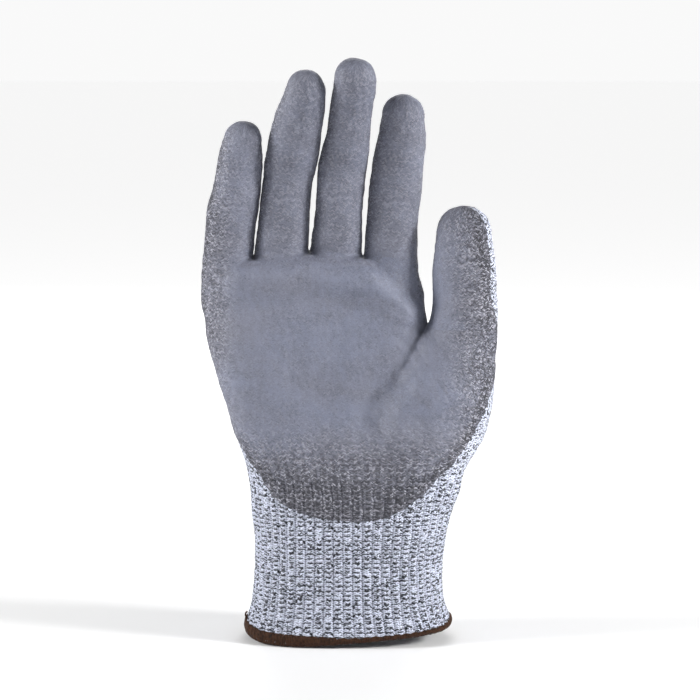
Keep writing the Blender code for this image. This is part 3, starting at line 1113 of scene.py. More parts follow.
class Graph(Tree):
    """The node tree of one finish."""

    def __init__(self, name: str) -> None:
        """Starts a finish."""
        self.material = bpy.data.materials.new(name)
        self.material.use_nodes = True
        super().__init__(self.material.node_tree)

    def field(self, name: str) -> Signal:
        """A number that the mesh carries at its points."""
        return Signal(self, self.node("ShaderNodeAttribute", {"attribute_name": name}).outputs["Fac"])

    def vector(self, x: Signal | float, y: Signal | float, z: Signal | float = 0.0) -> bpy.types.NodeSocket:
        """Three numbers as one vector."""
        return self.node("ShaderNodeCombineXYZ", None, {0: x, 1: y, 2: z}).outputs[0]

    def chance(self, x: Signal | float, y: Signal | float, z: Signal | float = 0.0) -> Signal:
        """An even random number for each set of whole numbers."""
        made = self.node("ShaderNodeTexWhiteNoise", {"noise_dimensions": "3D"}, {"Vector": self.vector(x, y, z)})
        return Signal(self, made.outputs["Value"])

    def cloud(self, vector: bpy.types.NodeSocket, scale: float, detail: float = 2.0, rough: float = 0.5) -> Signal:
        """Soft noise about one half."""
        inputs = {"Vector": vector, "Scale": scale, "Detail": detail, "Roughness": rough}
        return Signal(self, self.node("ShaderNodeTexNoise", None, inputs).outputs[0])

    def blend(self, share: Signal, first: Any, second: Any) -> bpy.types.NodeSocket:
        """A colour between two colours."""
        inputs = {"Factor": share, 6: self.colour(first), 7: self.colour(second)}
        return self.node("ShaderNodeMix", {"data_type": "RGBA"}, inputs).outputs[2]

    @staticmethod
    def colour(value: Any) -> Any:
        """A colour's three numbers with a full alpha, or a socket as it is."""
        return (*value, 1.0) if isinstance(value, tuple) else value

    def relief(self, height: Signal, distance: float, strength: float) -> bpy.types.NodeSocket:
        """The normal of a surface with that relief, whose height 1 is the distance in metres."""
        inputs = {"Height": height, "Distance": distance, "Strength": strength}
        return self.node("ShaderNodeBump", None, inputs).outputs[0]

    def finish(self, base: Any, rough: Any, normal: Any = None, **constants: Any) -> bpy.types.Material:
        """Closes the tree with its shader.

        Args:
            base: the colour.
            rough: the roughness.
            normal: the normal, where the finish has relief.
            constants: values of the shader's other inputs, with underscores for spaces.

        Returns:
            The finished material.
        """
        inputs = {"Base Color": self.colour(base), "Roughness": rough}
        if normal is not None:
            inputs["Normal"] = normal
        for key, value in constants.items():
            inputs[key.replace("_", " ")] = value
        shader = self.node("ShaderNodeBsdfPrincipled", None, inputs)
        self.node("ShaderNodeOutputMaterial", None, {"Surface": shader.outputs[0]})
        return self.material


class Stitches:
    """Plain knit drawn from a piece's stitch coordinates: one wale across and one course up for each stitch."""

    def __init__(self, graph: Graph) -> None:
        """Works out the yarn's relief, its flecks and the pairs of courses of the ribs."""
        place = graph.node("ShaderNodeUVMap", {"uv_map": "stitches"}).outputs[0]
        split = graph.node("ShaderNodeSeparateXYZ", None, {0: place})
        across, up = Signal(graph, split.outputs[0]), Signal(graph, split.outputs[1])
        self.place = place
        across = across + (graph.cloud(place, 0.55, 1.0) - 0.5) * 0.5
        wander = (graph.cloud(place, 0.9, 1.0) - 0.5) * 0.8
        side = ((across.part() - 0.5) * 2.0).size()
        lifted = up + side * 0.55 + wander
        leg = across * 2.0
        half_row = lifted * 2.0
        self.yarn = 1.0 - ((lifted.part() - 0.5) * 2.0) ** 2.0 * 0.9
        self.strand = 1.0 - ((leg.part() - 0.5) * 2.0) ** 2.0 * 0.55
        self.height = self.yarn * self.strand
        self.draw = graph.chance(leg.floor(), half_row.floor(), 3.0)
        self.tone = graph.chance(leg.floor(), half_row.floor(), 8.0)
        speck_up = up * 2.6 + side * 0.5
        self.speck = graph.chance((across * 3.0).floor(), speck_up.floor(), 5.0)
        self.spot = (1.0 - ((speck_up.part() - 0.5) * 2.0) ** 2.0).between(0.1, 0.6)
        self.rib = (across * math.pi).cosine()
        pair = up * 0.5 + wander * 0.35 + self.rib * 0.06
        self.pair = 1.0 - ((pair.part() - 0.5) * 2.0).size()
        self.pair_draw = graph.chance((across * 0.5 + 0.5).floor(), pair.floor(), 11.0)
        self.slant = ((across - lifted) * math.tau).cosine()


@dataclass(frozen=True)
class HeatherKnit:
    """White and black yarn knitted together: light stitches with dark flecks scattered over them, and painted shade
    in the gaps between the yarns and in the ribs' valleys.
    """

    light: tuple[float, float, float] = (0.70, 0.74, 0.88)
    middle: tuple[float, float, float] = (0.33, 0.35, 0.44)
    # colour of the painted shade in the gaps between the yarns
    gap_shade: tuple[float, float, float] = (0.065, 0.068, 0.095)
    dark: tuple[float, float, float] = (0.006, 0.007, 0.012)
    share: float = 0.27

    def make(self) -> bpy.types.Material:
        """The finish."""
        graph = Graph("heather_knit")
        knit = Stitches(graph)
        rib, stretch = graph.field("rib"), graph.field("stretch")
        crowd = graph.cloud(knit.place, 0.10, 2.0) - 0.5
        limit = self.share + crowd * 0.2 + stretch * 0.13 - rib * 0.10
        fleck = (limit - knit.draw).between(-0.02, 0.04) * knit.height.between(0.05, 0.4)
        speck = (limit * 0.55 - knit.speck).between(-0.02, 0.04) * knit.spot
        # dark dashes between pairs of courses on the ribs' tops: partly the black yarn, partly painted shadow of the
        # gap between the courses
        yarn_and_shadow_dash = knit.pair.between(0.50, 0.68) * knit.rib.between(-0.5, 0.1)
        yarn_and_shadow_dash = yarn_and_shadow_dash * (0.92 - knit.pair_draw).between(0.0, 0.04)
        # painted shade: the ribs' valleys are darkened towards the gap shade colour
        valley = (0.0 - knit.rib).between(0.2, 1.0) * rib
        fleck = fleck.most(speck).most(yarn_and_shadow_dash * rib * (knit.tone * 0.25 + 0.75))
        # painted shade: the gaps between the yarns, and the gaps that open along the stitches' slant where the knit
        # is stretched, are darkened towards the gap shade colour
        gap_shade = (1.0 - knit.height).between(0.35, 0.95)
        stretched_gap_shade = knit.slant.between(-0.2, 0.7) * stretch
        shade = (gap_shade * 0.72 + stretched_gap_shade * 0.60 + valley * 0.22).least(1.0)
        body = graph.blend(knit.tone.between(0.55, 1.0) * 0.5, self.light, self.middle)
        body = graph.blend(shade, body, self.gap_shade)
        base = graph.blend(fleck, body, self.dark)
        fuzz = graph.cloud(knit.place, 5.0, 3.0, 0.7)
        normal = graph.relief(knit.height + fuzz * 0.3, 0.0005, 0.8)
        gloss = {"Specular_IOR_Level": 0.25, "Sheen_Weight": 0.12, "Sheen_Roughness": 0.6}
        return graph.finish(base, 0.82 - fleck * 0.1, normal, **gloss)


@dataclass(frozen=True)
class GreyCoating:
    """A thin dip that soaks into the knit: smooth where it is thick, speckled where the yarn shows through, with
    painted shade in the gaps between the yarns and over the ring, middle and first fingers.
    """

    thick: tuple[float, float, float] = (0.172, 0.187, 0.250)
    thin: tuple[float, float, float] = (0.182, 0.182, 0.216)
    worn: tuple[float, float, float] = (0.100, 0.104, 0.134)
    speck: tuple[float, float, float] = (0.016, 0.016, 0.020)
    pale: tuple[float, float, float] = (0.42, 0.42, 0.48)

    def make(self) -> bpy.types.Material:
        """The finish."""
        graph = Graph("grey_coating")
        knit = Stitches(graph)
        thin, rib, painted_finger_shade = (graph.field(name) for name in ("thin", "rib", "painted_finger_shade"))
        patch = graph.cloud(knit.place, 0.12, 3.0) - 0.5
        long = graph.node("ShaderNodeMapping", None, {"Vector": knit.place, "Scale": (0.9, 0.22, 1.0)})
        streak = graph.cloud(long.outputs[0], 1.0, 3.0) - 0.5
        cover = (thin + patch * 0.22).least(1.0).most(0.0)
        fleck = (cover * 0.30 - knit.draw).between(-0.05, 0.05) * knit.height.between(0.05, 0.4)
        speck = (cover * 0.42 + 0.02 - knit.speck).between(-0.05, 0.05) * knit.spot
        dots = knit.pair.between(0.35, 0.7) * knit.rib.between(0.0, 0.7) * rib
        lights = (0.34 - knit.tone).between(0.0, 0.1) * cover * 0.75
        grain = graph.cloud(knit.place, 3.4, 3.0, 0.7) - 0.5
        soft = graph.cloud(knit.place, 0.045, 2.0) - 0.5
        soaked = cover * 0.9 + soft * 1.6 + streak * 0.35 + 0.1
        body = graph.blend(soaked.most(0.0).least(1.0), self.thick, self.thin)
        # mottled wear, with painted shade added over the ring, middle and first fingers
        wear_and_finger_shade = grain * 2.4 + streak * 0.8 + patch * 0.9 + 0.18 + cover * 0.10 + painted_finger_shade * 0.36
        body = graph.blend(wear_and_finger_shade.most(0.0).least(1.0), body, self.worn)
        body = graph.blend(lights, body, self.pale)
        marks = fleck.most(speck) * (cover * 0.80 + 0.14).least(0.9) * (1.0 - rib * 0.1)
        # black-yarn marks, dark dots over the ribs, and painted shade in the gaps between the yarns where the coating
        # is thin
        shade = marks.most(dots * cover * 0.85).most((1.0 - knit.height).between(0.4, 0.95) * cover * 0.42)
        base = graph.blend(shade.least(1.0), body, self.speck)
        height = knit.height * (cover * 0.75 + 0.12) + grain * 0.5
        normal = graph.relief(height, 0.0004, 0.6)
        return graph.finish(base, 0.56 + cover * 0.2 + grain * 0.14, normal, Specular_IOR_Level=0.34)


@dataclass(frozen=True)
class BrownThread:
    """Textured polyester thread."""

    base: tuple[float, float, float] = (0.058, 0.024, 0.011)
    worn: tuple[float, float, float] = (0.012, 0.006, 0.004)

    def make(self) -> bpy.types.Material:
        """The finish."""
        graph = Graph("brown_thread")
        place = graph.node("ShaderNodeTexCoord").outputs["Object"]
        patch = graph.cloud(place, 900.0, 3.0, 0.7)
        twist = graph.cloud(place, 2600.0, 2.0, 0.6)
        base = graph.blend(patch.between(0.38, 0.72), self.base, self.worn)
        normal = graph.relief(patch * 0.5 + twist, 0.00025, 0.7)
        return graph.finish(base, 0.72 + twist * 0.15, normal, Specular_IOR_Level=0.2, Sheen_Weight=0.04)


@dataclass(frozen=True)
class ElasticYarn:
    """Covered elastic: white yarn wound closely round a rubber core."""

    base: tuple[float, float, float] = (0.66, 0.67, 0.70)
    shadow: tuple[float, float, float] = (0.30, 0.31, 0.34)

    def make(self) -> bpy.types.Material:
        """The finish."""
        graph = Graph("elastic_yarn")
        place = graph.node("ShaderNodeTexCoord").outputs["Object"]
        wrap = graph.cloud(place, 2400.0, 1.0)
        base = graph.blend(wrap.between(0.4, 0.62), self.shadow, self.base)
        return graph.finish(base, 0.8 - wrap * 0.1, graph.relief(wrap, 0.0002, 0.6))


# ---------------------------------------------------------------------------------------------- pieces


@dataclass
class Wall:
    """A part of the glove's skin on its way to becoming a piece: smooth places, and the shaped skin over them."""

    smooth: Skin
    shaped: Skin
    digit: Digit | None = None
    extra: Callable[[Array], Array] | None = None

    def coordinates(self, stitches: StitchMap) -> tuple[Array, float]:
        """Where each point lies in stitches across and courses up, and how many stitches go round."""
        points = self.smooth.points
        if self.digit is None:
            return stitches.placed(points, self.smooth.outward), HAND_WALES
        along, across, back = self.digit.tube.locate(points)
        turn = np.arctan2(across, back) / math.tau
        return np.stack([(turn - 0.25) % 1.0 * self.digit.wales, along / COURSE + 40.0], -1), self.digit.wales

    def made(self, name: str, outer: Array, inner: Array, stitches: StitchMap, fields: dict[str, Array],
             soft: Array | None = None) -> bpy.types.Object:
        """Turns the wall into an object.

        Args:
            name: the piece's name.
            outer: how far out of the skin its outer face lies at each point.
            inner: how far out its inner face lies.
            stitches: counts the stitches over the hand.
            fields: numbers at the points that the finish reads.
            soft: where the mesh's own rounded normals are used instead of the skin's.

        Returns:
            The object, in the frame's metres.
        """
        skin = self.shaped.walled(outer, inner)
        mesh = bpy.data.meshes.new(name)
        mesh.from_pydata((skin.points * MM).tolist(), [], skin.triangles.tolist())
        coordinates, girth = self.coordinates(stitches)
        corners = np.concatenate([coordinates, coordinates])[skin.triangles]
        across = corners[:, :, 0]
        across[(across.max(1, keepdims=True) - across) > girth / 2] += girth
        layer = mesh.uv_layers.new(name="stitches")
        layer.data.foreach_set("uv", corners.reshape(-1).astype(np.float32))
        for key, values in fields.items():
            attribute = mesh.attributes.new(key, "FLOAT", "POINT")
            attribute.data.foreach_set("value", np.concatenate([values, values]).astype(np.float32))
        mesh.shade_smooth()
        mesh.update()
        normals = skin.outward
        if soft is not None:
            own = np.empty(len(skin.points) * 3, np.float32)
            mesh.vertex_normals.foreach_get("vector", own)
            loose = np.nonzero(np.concatenate([soft, soft]))[0]
            normals[loose] = own.reshape(-1, 3)[loose]
        mesh.normals_split_custom_set_from_vertices(normals.tolist())
        made = bpy.data.objects.new(name, mesh)
        bpy.context.scene.collection.objects.link(made)
        return made


@dataclass
class Workshop:
    """What every sub-assembly needs: the glove's body, its sculpting, its coating line and the finishes."""

    body: Body
    stitches: StitchMap
    sculpt: Sculpt
    line: CoatLine
    finishes: dict[Slot, bpy.types.Material]
    coat_edge: float = 1.2

    def dress(self, piece: bpy.types.Object, slot: Slot, *nodes: str) -> bpy.types.Object:
        """Gives a piece its finish, hides the frame's parts that it replaces and logs its triangles."""
        piece.data.materials.clear()
        piece.data.materials.append(self.finishes[slot])
        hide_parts(*nodes)
        LOG.info("%s: %d triangles", piece.name, sum(len(face.vertices) - 2 for face in piece.data.polygons))
        return piece

    def wall(self, smooth: Skin, digit: Digit | None = None, extra: Callable[[Array], Array] | None = None) -> Wall:
        """A smooth part of the skin with its shaped one."""
        return Wall(smooth, self.sculpt.shape(smooth, extra), digit, extra)

    def knit(self, name: str, wall: Wall, nodes: Sequence[str]) -> bpy.types.Object:
        """A knitted piece from a wall."""
        points = wall.smooth.points
        place = points - MIDDLE
        zero = np.zeros(len(points))
        ribbed = smooth_step(points[:, 2], 81.0, 72.0)
        centre = smooth_step(np.abs(place[:, 0] + 2.0), 44.0, 6.0) * smooth_step(wall.smooth.outward[:, 1], 0.1, 0.8)
        stretch = centre * smooth_step(points[:, 2], 78.0, 84.0) * smooth_step(points[:, 2], 172.0, 148.0)
        fields = {"rib": ribbed, "stretch": stretch}
        made = wall.made(name, zero, zero - KNIT_WALL, self.stitches, fields)
        return self.dress(made, Slot.KNIT, *nodes)

    def coat(self, name: str, wall: Wall, nodes: Sequence[str]) -> bpy.types.Object:
        """The coating over a wall.

        Args:
            name: the piece's name.
            wall: the knit that is dipped.
            nodes: the frame's nodes that it stands for.

        Returns:
            The coating.
        """
        smooth = wall.smooth.keep(self.line.value(wall.smooth.points))
        own = self.wall(smooth, wall.digit, wall.extra)
        inside = self.line.value(smooth.points)
        place = smooth.points - MIDDLE
        heel = smooth_step(place[:, 2], 98.0, 60.0)
        thumb = smooth_step(place[:, 0], 36.0, 58.0) * smooth_step(place[:, 2], 70.0, 96.0)
        little = smooth_step(place[:, 0], -44.0, -59.0) * 0.55
        edge = smooth_step(inside, 8.0, 0.0) * 0.5
        finger = smooth_step(place[:, 2], 150.0, 172.0) * 0.14
        thin = np.clip(0.10 + 0.9 * heel + 0.75 * thumb + little + edge + finger, 0.0, 1.0)
        # painted shade: darkens the coating over the ring, middle and first fingers from their roots up, where their
        # neighbours shade them
        painted_finger_shade = smooth_step(place[:, 2], 152.0, 176.0) * smooth_step(place[:, 0], -43.0, -38.0)
        painted_finger_shade = painted_finger_shade * smooth_step(place[:, 0], 45.0, 39.0)
        fields = {"rib": smooth_step(place[:, 2], 96.0, 78.0), "thin": thin, "painted_finger_shade": painted_finger_shade}
        outer = -0.25 + (COAT_THICKNESS + 0.25) * smooth_step(inside, 0.0, self.coat_edge)
        inner = np.full(len(outer), -0.35)
        made = own.made(name, outer, inner, self.stitches, fields, inside < self.coat_edge + 0.4)
        return self.dress(made, Slot.COATING, *nodes)


@dataclass
class Hem:
    """The overlocked edge of the cuff: thread loops side by side round its mouth."""

    # angle from the back by the thumb's side, height of the lower edge, height of the band
    COURSE_ROUND = (
        (-180.0, 1.8, 2.7), (-165.0, 0.8, 4.4), (-150.0, 0.0, 5.6), (-132.0, 0.2, 5.8), (-108.0, 2.2, 5.4),
        (-88.0, 4.2, 4.6), (-45.0, 2.2, 5.0), (0.0, 1.6, 5.0), (45.0, 3.4, 4.6), (70.0, 5.2, 3.8), (90.0, 6.2, 3.2),
        (108.0, 5.6, 2.8), (130.0, 4.4, 2.6), (155.0, 3.4, 2.4), (180.0, 1.8, 2.7),
    )
    loops: int = 336
    thread: float = 0.46
    depth: float = 1.9
    lean: float = 0.07
    seed: int = 17
    tail_points: tuple[tuple[float, float, float], ...] = (
        (0.4, 0.0, -1.0), (-0.4, -0.2, 0.0), (-0.9, -0.4, 0.9), (-0.8, -0.6, 1.9), (-0.1, -0.7, 2.6),
    )

    def course(self, angle: Array) -> tuple[Array, Array]:
        """The lower edge and the height of the band at angles round the mouth, in degrees."""
        rows = np.array(self.COURSE_ROUND)
        steps = np.linspace(-180.0, 180.0, 361)
        kernel = np.hanning(25)
        kernel /= kernel.sum()
        read = []
        for column in (1, 2):
            line = np.interp(steps, rows[:, 0], rows[:, column])
            padded = np.concatenate([line[-13:-1], line, line[1:13]])
            read.append(np.interp(angle, steps, np.convolve(padded, kernel, "valid")))
        return read[0], read[1]

    def spots(self, trunk: Trunk, level: Array, angle: Array) -> tuple[Array, Array]:
        """Places on the cuff's skin and the directions out of it.

        Args:
            trunk: the cuff's field.
            level: the heights.
            angle: the angles in degrees from the back by the thumb's side.

        Returns:
            The places and the level directions.
        """
        centre, way = trunk.rays(level, np.radians(angle))
        shape = np.stack([np.sin(np.radians(angle)), np.cos(np.radians(angle))], -1)
        grow = (np.abs(shape) ** trunk.POWER).sum(1) ** (-1.0 / trunk.POWER)
        places = centre + way * grow[:, None]
        ahead = unit(np.roll(places, -1, 0) - np.roll(places, 1, 0))
        return places, unit(np.cross(np.array([0.0, 0.0, 1.0]), ahead))

    def even_angles(self, stitches: StitchMap) -> Array:
        """Angles that lie evenly round the mouth, in degrees."""
        wales = (np.arange(self.loops) + 0.5) / self.loops * HAND_WALES
        return np.degrees(stitches.angles_at(4.0, wales))

    def band(self, shop: Workshop) -> bpy.types.Object:
        """The thread loops, as one mesh.

        Args:
            shop: the body and the finishes.

        Returns:
            The overlocked edge.
        """
        angle = self.even_angles(shop.stitches)
        low, tall = self.course(angle)
        rng = np.random.default_rng(41)
        low = low + self.thread + rng.normal(0.0, 0.06, self.loops)
        middle = low + (tall - 2 * self.thread) / 2
        places, outward = self.spots(shop.body.trunk, middle, angle)
        places = places - outward * (self.depth * 0.36)
        spots = bpy.data.meshes.new("hem_spots")
        spots.from_pydata((places * MM).tolist(), [], [])
        for key, kind, values in (
            ("tall", "FLOAT", tall - 2 * self.thread), ("heading", "FLOAT", np.arctan2(outward[:, 1], outward[:, 0])),
        ):
            spots.attributes.new(key, kind, "POINT").data.foreach_set("value", values.astype(np.float32))
        carrier = bpy.data.objects.new("overlocked_hem", spots)
        bpy.context.scene.collection.objects.link(carrier)
        return shop.dress(self._loops_on(carrier, shop.finishes[Slot.THREAD]), Slot.THREAD, "hem_overlock")

    def _loops_on(self, carrier: bpy.types.Object, material: bpy.types.Material) -> bpy.types.Object:
        """Sets a thread loop on every spot with Geometry Nodes.

        Args:
            carrier: the spots, with each loop's height and heading.
            material: the thread's finish.

        Returns:
            The loops as a plain mesh in the carrier's place.
        """
        sizes = {"Thread radius": self.thread * MM, "Loop depth": self.depth * MM, "Lean": self.lean}
        plan = Plan("overlock_loops", sizes)
        quarter_turn = {"Geometry": plan.circle(10, 1.0), "Rotation": (math.pi / 2, 0.0, 0.0)}
        upright = plan.node("GeometryNodeTransform", None, quarter_turn)
        half = plan.node("ShaderNodeMath", {"operation": "MULTIPLY"}, {0: plan.input("Loop depth"), 1: 0.5})
        flat = plan.node("ShaderNodeCombineXYZ", None, {0: half.outputs[0], 1: 1.0, 2: MM * 0.5})
        oval = plan.node("GeometryNodeTransform", None, {"Geometry": upright.outputs[0], "Scale": flat.outputs[0]})
        tall = plan.node("GeometryNodeInputNamedAttribute", {"data_type": "FLOAT"}, {"Name": "tall"})
        heading = plan.node("GeometryNodeInputNamedAttribute", {"data_type": "FLOAT"}, {"Name": "heading"})
        lean = plan.input("Lean")
        least = plan.node("ShaderNodeMath", {"operation": "MULTIPLY"}, {0: lean, 1: -1.0})
        limits = {2: least.outputs[0], 3: lean, "Seed": self.seed}
        chance = plan.node("FunctionNodeRandomValue", {"data_type": "FLOAT"}, limits)
        turn = plan.node("ShaderNodeCombineXYZ", None, {0: chance.outputs[1], 1: 0.0, 2: heading.outputs[0]})
        size = plan.node("ShaderNodeCombineXYZ", None, {0: 1.0, 1: 1.0, 2: tall.outputs[0]})
        where = {"Points": plan.geometry, "Rotation": turn.outputs[0], "Scale": size.outputs[0]}
        placed = plan.node("GeometryNodeInstanceOnPoints", None, {**where, "Instance": oval.outputs[0]})
        real = plan.node("GeometryNodeRealizeInstances", None, {"Geometry": placed.outputs[0]})
        section = plan.circle(5, plan.input("Thread radius"))
        tubes = plan.node("GeometryNodeCurveToMesh", None, {"Curve": real.outputs[0], "Profile Curve": section})
        return plan.grow(carrier, tubes.outputs[0], material)

    def tail(self, shop: Workshop) -> bpy.types.Object:
        """The cut end of the overlock thread, which stands up at the little finger's side."""
        angle = np.array([-97.0, -96.0, -95.0])
        low, tall = self.course(angle)
        root = self.spots(shop.body.trunk, low + tall, angle)[0][1]
        line = root + np.array(self.tail_points)
        made = thread_along("thread_tail", line, self.thread * 0.8, shop.finishes[Slot.THREAD])
        return shop.dress(made, Slot.THREAD, "overlock_tail")


class Plan(Tree):
    """A Geometry Nodes tree that turns one object's geometry into a finished mesh."""

    def __init__(self, name: str, sizes: dict[str, float]) -> None:
        """Starts a tree.

        Args:
            name: the tree's name.
            sizes: its named inputs with their values.
        """
        super().__init__(bpy.data.node_groups.new(name, "GeometryNodeTree"))
        self.sizes = sizes
        self.tree.interface.new_socket("Geometry", in_out="INPUT", socket_type="NodeSocketGeometry")
        for key in sizes:
            self.tree.interface.new_socket(key, in_out="INPUT", socket_type="NodeSocketFloat")
        self.tree.interface.new_socket("Geometry", in_out="OUTPUT", socket_type="NodeSocketGeometry")
        self.entry = self.node("NodeGroupInput")
        self.geometry = self.entry.outputs["Geometry"]

    def input(self, key: str) -> bpy.types.NodeSocket:
        """A named size."""
        return self.entry.outputs[key]

    def circle(self, corners: int, radius: Any) -> bpy.types.NodeSocket:
        """A level circle about the origin."""
        inputs = {"Resolution": corners, "Radius": radius}
        return self.node("GeometryNodeCurvePrimitiveCircle", None, inputs).outputs[0]

    def grow(
        self, carrier: bpy.types.Object, result: bpy.types.NodeSocket, material: bpy.types.Material
    ) -> bpy.types.Object:
        """Runs the tree on an object and keeps the result as its mesh.

        Args:
            carrier: the object with the starting geometry.
            result: the tree's last geometry.
            material: the finish of the result.

        Returns:
            The carrier, with a plain mesh.
        """
        real = self.node("GeometryNodeRealizeInstances", None, {"Geometry": result})
        smooth = self.node("GeometryNodeSetShadeSmooth", None, {"Geometry": real.outputs[0]})
        dressed = self.node("GeometryNodeSetMaterial", None, {"Geometry": smooth.outputs[0], "Material": material})
        self.node("NodeGroupOutput", None, {"Geometry": dressed.outputs[0]})
        modifier = carrier.modifiers.new("grow", "NODES")
        modifier.node_group = self.tree
        for item in self.tree.interface.items_tree:
            if item.in_out == "INPUT" and item.name in self.sizes:
                modifier[item.identifier] = self.sizes[item.name]
        view = bpy.context.evaluated_depsgraph_get()
        mesh = bpy.data.meshes.new_from_object(carrier.evaluated_get(view))
        carrier.modifiers.remove(modifier)
        carrier.data = mesh
        return carrier


def thread_along(name: str, line: Array, radius: float, material: bpy.types.Material) -> bpy.types.Object:
    """A round thread or yarn along a line, made by Geometry Nodes.

    Args:
        name: the piece's name.
        line: the points that it follows, in millimetres.
        radius: half its thickness.
        material: its finish.

    Returns:
        The thread as a plain mesh.
    """
    edges = [(k, k + 1) for k in range(len(line) - 1)]
    path = bpy.data.meshes.new(name)
    path.from_pydata((line * MM).tolist(), edges, [])
    carrier = bpy.data.objects.new(name, path)
    bpy.context.scene.collection.objects.link(carrier)
    plan = Plan(name + "_run", {"Thread radius": radius * MM})
    run = plan.node("GeometryNodeMeshToCurve", None, {"Mesh": plan.geometry})
    section = plan.circle(7, plan.input("Thread radius"))
    shape = {"Curve": run.outputs[0], "Profile Curve": section, "Fill Caps": True}
    return plan.grow(carrier, plan.node("GeometryNodeCurveToMesh", None, shape).outputs[0], material)


@dataclass
class Cuff:
    """The ribbed cuff, its elastic and the heel of the coating."""

    hem: Hem
    top: float = 76.0
    rib_depth: float = 0.34
    columns: int = 432
    rows: int = 100
    bend_from: float = 50.0
    bend_to: float = 74.0
    elastic_radius: float = 0.32
    elastic_turns: int = 12

    def rib(self, points: Array, stitches: StitchMap) -> Array:
        """How far the ribs lift points out of the cuff."""
        wave = np.cos(stitches.round(points) * math.pi)
        return self.rib_depth * (wave - 0.4 * wave**2) * smooth_step(points[:, 2], self.top - 0.5, 66.0)

    def skin(self, body: Body, stitches: StitchMap) -> Skin:
        """The smooth skin from the hem up to the hand, in rows and columns."""
        wales = np.arange(self.columns) / self.columns * HAND_WALES
        start = self.hem.course(np.degrees(stitches.angles_at(4.0, wales)))[0] + 1.6
        level = start + (self.top - start) * np.linspace(0.0, 1.0, self.rows)[:, None]
        angles = np.stack([stitches.angles_at(float(row.mean()), wales) for row in level])
        points = body.reached(body.hand, *body.trunk.rays(level.ravel(), angles.ravel()))
        first = np.arange(self.rows - 1)[:, None] * self.columns + np.arange(self.columns)
        after = np.arange(self.rows - 1)[:, None] * self.columns + (np.arange(self.columns) + 1) % self.columns
        a, b, c, d = first.ravel(), after.ravel(), after.ravel() + self.columns, first.ravel() + self.columns
        triangles = np.concatenate([np.stack([a, b, c], -1), np.stack([a, c, d], -1)])
        outward = body.outward(points)
        one, two, three = points[triangles[0]]
        if np.cross(two - one, three - one) @ outward[triangles[0, 0]] < 0:
            triangles = triangles[:, ::-1]
        return Skin(points, outward, triangles)

    def bend(self, piece: bpy.types.Object) -> None:
        """Bakes a piece's placement into its mesh."""
        start, end = WRIST * MM, WRIST * MM
        start[2], end[2] = self.bend_from * MM, self.bend_to * MM
        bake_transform(piece)

    def build(self, shop: Workshop) -> None:
        """Makes the cuff's pieces."""
        wall = shop.wall(self.skin(shop.body, shop.stitches), None, lambda points: self.rib(points, shop.stitches))
        self.bend(shop.knit("ribbed_cuff", wall, ["cuff_knit"]))
        self.bend(shop.coat("heel_coating", wall, []))
        hem = self.hem.band(shop)
        tail = self.hem.tail(shop)
        for piece in (hem, tail, self.elastic(shop)):
            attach(piece, "cuff")

    def elastic(self, shop: Workshop) -> bpy.types.Object:
        """The elastic yarn that is laid into the inner face of the cuff, turn above turn."""
        low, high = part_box("cuff_elastic_yarn")
        count = self.elastic_turns * 120
        level = np.linspace(low.z / MM + 1.0, min(high.z / MM, self.bend_from) - 1.5, count)
        angle = (np.arange(count) * 3.0) % 360.0 - 180.0
        places, _ = self.hem.spots(shop.body.trunk, level, angle)
        inward = unit((MIDDLE + np.array([0.0, 0.0, 1.0]) * level[:, None] - places) * np.array([1.0, 1.0, 0.0]))
        line = places + inward * (KNIT_WALL + self.elastic_radius * 0.6 + self.rib_depth)
        made = thread_along("laid_in_elastic", line, self.elastic_radius, shop.finishes[Slot.ELASTIC])
        return shop.dress(made, Slot.ELASTIC, "cuff_elastic_yarn")


@dataclass
class Hand:
    """The knitted hand between the cuff and the digits, with the coating over its palm."""

    bottom: float = 76.0

    def build(self, shop: Workshop, skin: Skin, above: Array) -> None:
        """Makes the hand's pieces.

        Args:
            shop: the body and the finishes.
            skin: the whole smooth skin.
            above: how far each point lies above its digit's root.
        """
        smooth = skin.keep(-above)
        smooth = smooth.keep(smooth.points[:, 2] - self.bottom)
        wall = shop.wall(smooth)
        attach(shop.knit("knit_hand", wall, ["lower_palm_knit", "upper_palm_knit"]), "hand")
        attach(shop.coat("palm_coating", wall, ["lower_palm_coating", "upper_palm_coating"]), "hand")


@dataclass
class Finger:
    """One finger or the thumb, cut into sections at its joints."""

    digit: Digit

    def build(self, shop: Workshop, skin: Skin, owner: Array, above: Array, number: int) -> None:
        """Makes the digit's pieces.

        Args:
            shop: the body and the finishes.
            skin: the whole smooth skin.
            owner: the digit that each point belongs to.
            above: how far each point lies above its digit's root.
            number: this digit's number.
        """
        digit = self.digit
        rest = skin.keep(np.where(owner == number, above, -np.abs(above)))
        for joint, part in enumerate(digit.parts):
            smooth = rest
            if joint + 1 < len(digit.parts):
                cut = digit.bend_cut(joint + 1)
                values = cut.above(rest.points)
                smooth, rest = rest.keep(-values), rest.keep(values)
            wall = shop.wall(smooth, digit)
            name = f"{digit.name}_{part}"
            start, end = digit.bend_span(joint)
            for piece in (
                shop.knit(f"{name}_sleeve", wall, [f"{name}_knit"]),
                shop.coat(f"{name}_dip", wall, [f"{name}_coating"]),
            ):
                tuple(start * MM)
                tuple(end * MM)
                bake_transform(piece)


# ---------------------------------------------------------------------------------------------- studio


